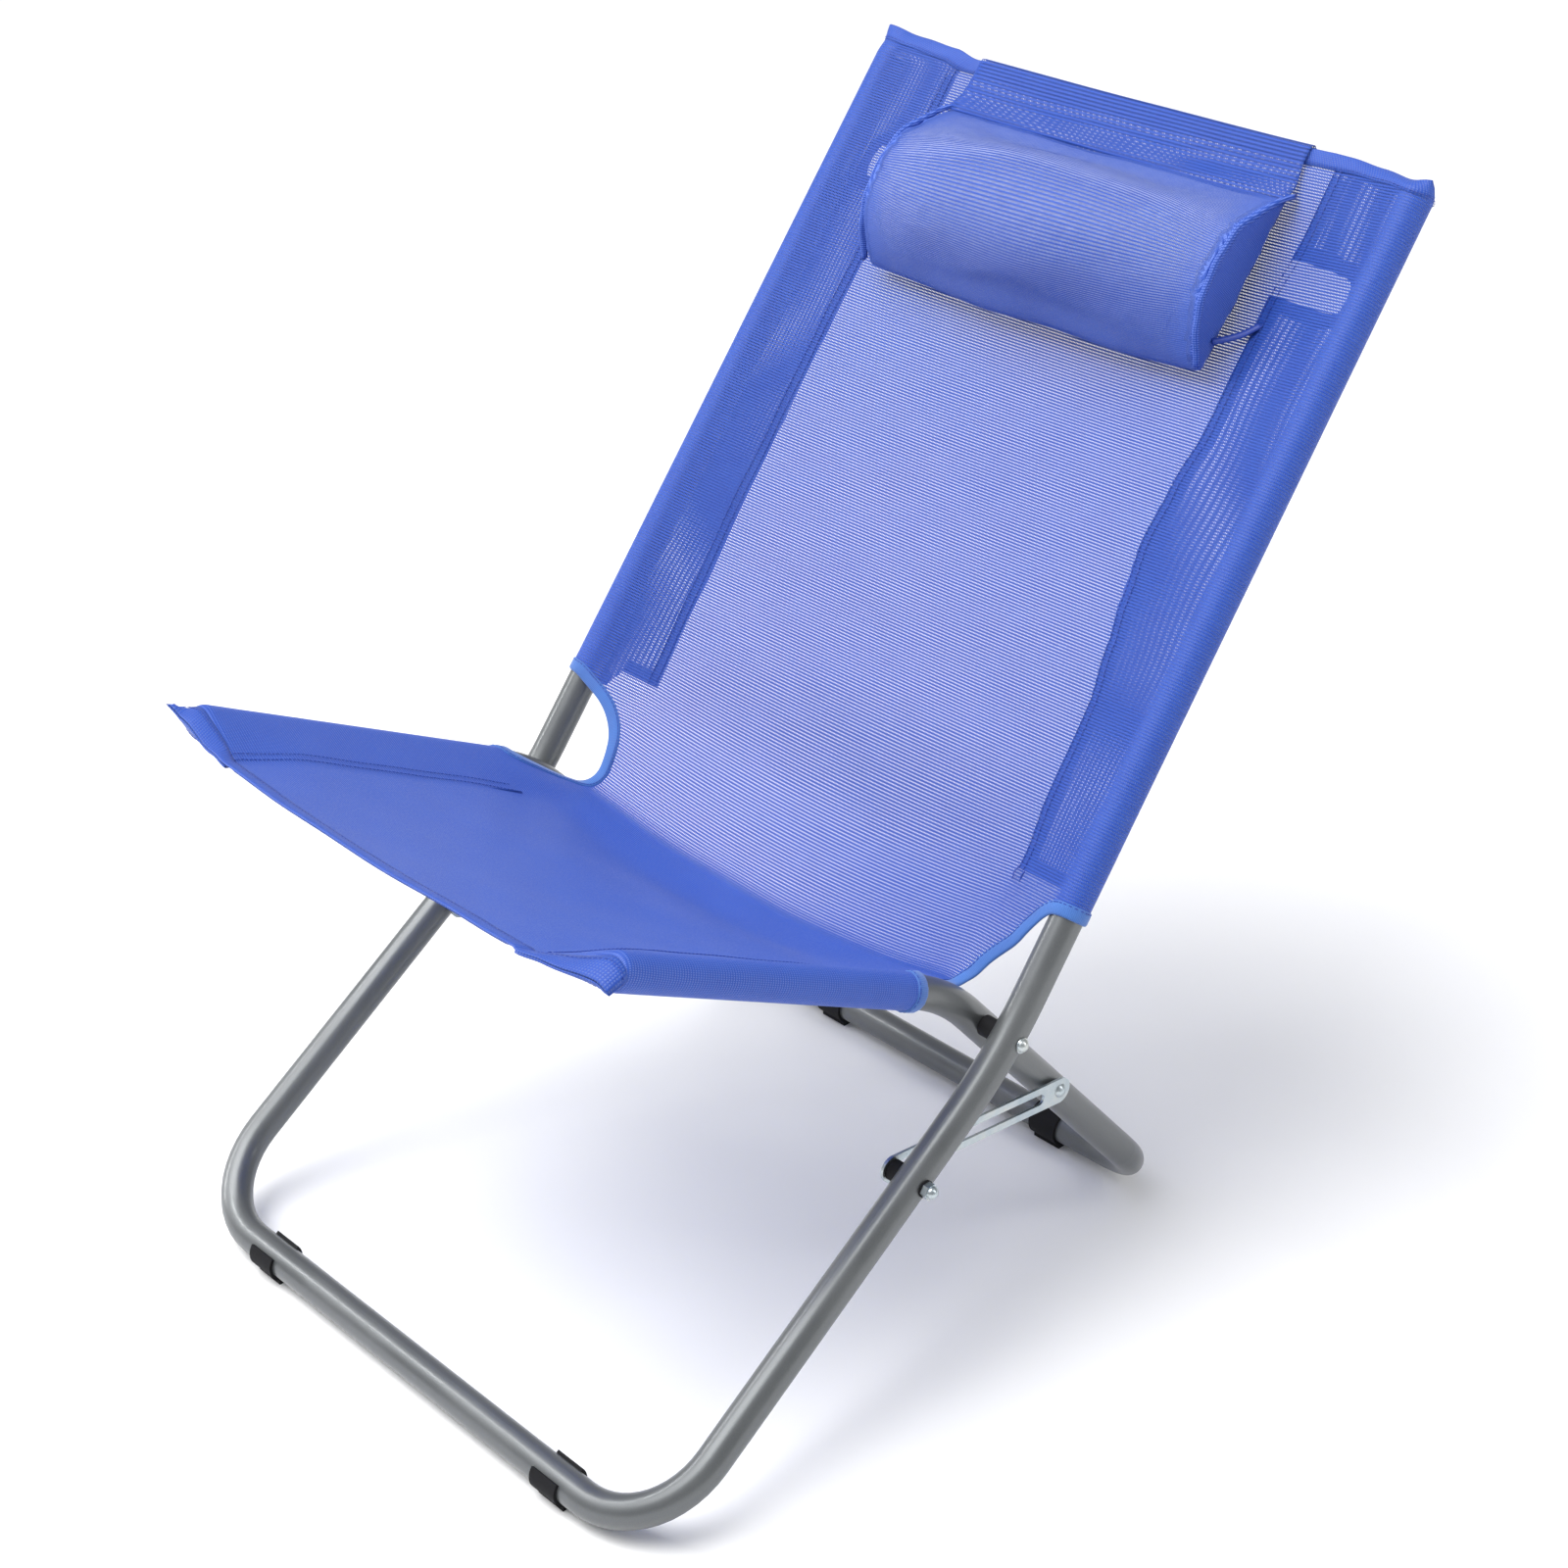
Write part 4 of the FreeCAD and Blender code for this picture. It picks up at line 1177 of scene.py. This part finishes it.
def end_seam(name, side):
    """Standing seam round an end panel: two layers of cover cloth folded in a low ridge."""
    shape = [(-0.0030, -0.0012), (-0.0014, 0.0018), (0.0, 0.0030), (0.0014, 0.0018), (0.0026, -0.0014)]
    line = pillow_line[pillow_girth < seam_girth]
    verts = []
    for point, radius in zip(line, np.linalg.norm(line, axis=1)):
        for across, out in shape:
            wobble = 0.0005 * math.sin(260.0 * point[0] + 90.0 * point[1])
            place = PILLOW_CENTRE + point * (radius + out + wobble) / radius
            verts.append(back_place(side * (PILLOW_HALF - 0.0015 + across), place[0], place[1]))
    obj = new_object(name, verts, band_faces(len(line), len(shape)))
    places = vertex_places(obj)
    set_uv(obj, places[:, [0, 2]])
    set_closeness(obj, np.full(len(places), PILLOW_END_CLOSED))
    finish_piece(obj, cover_material, "back_frame")


for name, side in SIDES.items():
    end_seam("pillow_end_seam_" + name, side)
    tie_places = [(side * x, s, lift) for x, s, lift in TIE_LINE]
    tie = strand("pillow_tie_cord_" + name, tie_places, TIE_RADIUS, width=2.0)
    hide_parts("pillow_tie_" + name)


def flap():
    """Cloth that the pillow hangs from: behind the top hem, over it and down the front."""
    xs = np.linspace(-FLAP_HALF, FLAP_HALF, 61)
    run = lengths_along(np.array(FLAP_LINE))
    hem_shift = table(xs, TOP_HEM) - TOP_HEM_MIDDLE
    stitch_x = BACK_STITCH_X[-1][1]
    verts, coords = [], []
    for (s, lift), length in zip(FLAP_LINE, run):
        near_hem = float(smooth((s - FLAP_FREE) / FLAP_FREE_FADE))
        sag = float(table(np.array([s]), BACK_SAG)[0]) * (1.0 - (xs / stitch_x) ** 2)
        wave = FLAP_WAVE * np.sin(70.0 * xs + 5.0) * smooth((0.605 - s) / 0.02)
        narrowed = FLAP_TAPER * near_hem * np.maximum(xs, 0.0) / FLAP_HALF
        lifts = lift - 0.6 * sag * near_hem + wave
        verts.extend(map(back_place, xs - narrowed, s + hem_shift, lifts))
        coords.extend((x * FLAP_WEAVE[0], length * FLAP_WEAVE[1]) for x in xs)
    faces = band_faces(len(FLAP_LINE), len(xs), closed=False)
    obj = new_object("pillow_hanging_flap", verts, faces)
    set_uv(obj, coords)
    finish_piece(obj, cloth_material, "back_frame")
    thicken(obj)
    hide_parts("pillow_flap")


flap()

# ---------------- camera, floor and light
CAMERA_PLACE = Vector((1.28615, -1.17296, 1.26052))
CAMERA_YAW = math.radians(45.56)
CAMERA_PITCH = math.radians(24.88)
CAMERA_LENS = 67.26
CAMERA_SHIFT = (-0.0625, -0.125)


def add_camera():
    data = bpy.data.cameras.new("camera")
    data.lens = CAMERA_LENS
    data.sensor_width = 36.0
    data.shift_x, data.shift_y = CAMERA_SHIFT
    data.clip_start, data.clip_end = 0.05, 60.0
    camera = bpy.data.objects.new("camera", data)
    camera.location = CAMERA_PLACE
    camera.rotation_euler = (math.pi / 2 - CAMERA_PITCH, 0.0, CAMERA_YAW)
    bpy.context.scene.collection.objects.link(camera)
    bpy.context.scene.camera = camera


def add_floor():
    ring = bmesh.new()
    bmesh.ops.create_circle(ring, cap_ends=True, segments=96, radius=14.0)
    mesh = bpy.data.meshes.new("floor")
    ring.to_mesh(mesh)
    ring.free()
    floor = bpy.data.objects.new("floor", mesh)
    bpy.context.scene.collection.objects.link(floor)
    make = Maker("floor")
    make.set("Roughness", 0.9)
    make.set("Base Color", (0.90, 0.90, 0.90, 1.0))
    mesh.materials.append(make.material)


def add_light(name, kind, power):
    data = bpy.data.lights.new(name, kind)
    data.energy = power
    light = bpy.data.objects.new(name, data)
    bpy.context.scene.collection.objects.link(light)
    return light


def add_area(name, place, target, size, power):
    light = add_light(name, "AREA", power)
    light.data.shape = "RECTANGLE"
    light.data.size, light.data.size_y = size
    light.location = place
    light.rotation_euler = (Vector(target) - Vector(place)).to_track_quat("-Z", "Y").to_euler()


def add_sun():
    light = add_light("high_window", "SUN", 2.1)
    light.data.angle = math.radians(50.0)
    light.rotation_euler = (math.radians(24.0), math.radians(-14.0), 0.0)


def add_world():
    world = bpy.data.worlds.new("studio")
    world.use_nodes = True
    shade = world.node_tree.nodes["Background"]
    shade.inputs["Color"].default_value = (0.96, 0.97, 1.0, 1.0)
    shade.inputs["Strength"].default_value = 0.48
    bpy.context.scene.world = world


add_camera()
add_floor()
add_world()
add_area("top_softbox", (-0.4, -0.9, 2.9), (0.0, 0.0, 0.3), (2.2, 2.2), 46.0)
add_area("left_strip", (-2.1, -1.1, 1.3), (0.0, 0.0, 0.4), (0.18, 2.4), 24.0)
add_area("right_strip", (2.0, 0.9, 1.6), (0.0, 0.0, 0.3), (0.18, 2.0), 16.0)
add_sun()
bpy.context.scene.view_settings.view_transform = "Standard"
bpy.context.scene.cycles.transparent_max_bounces = 24
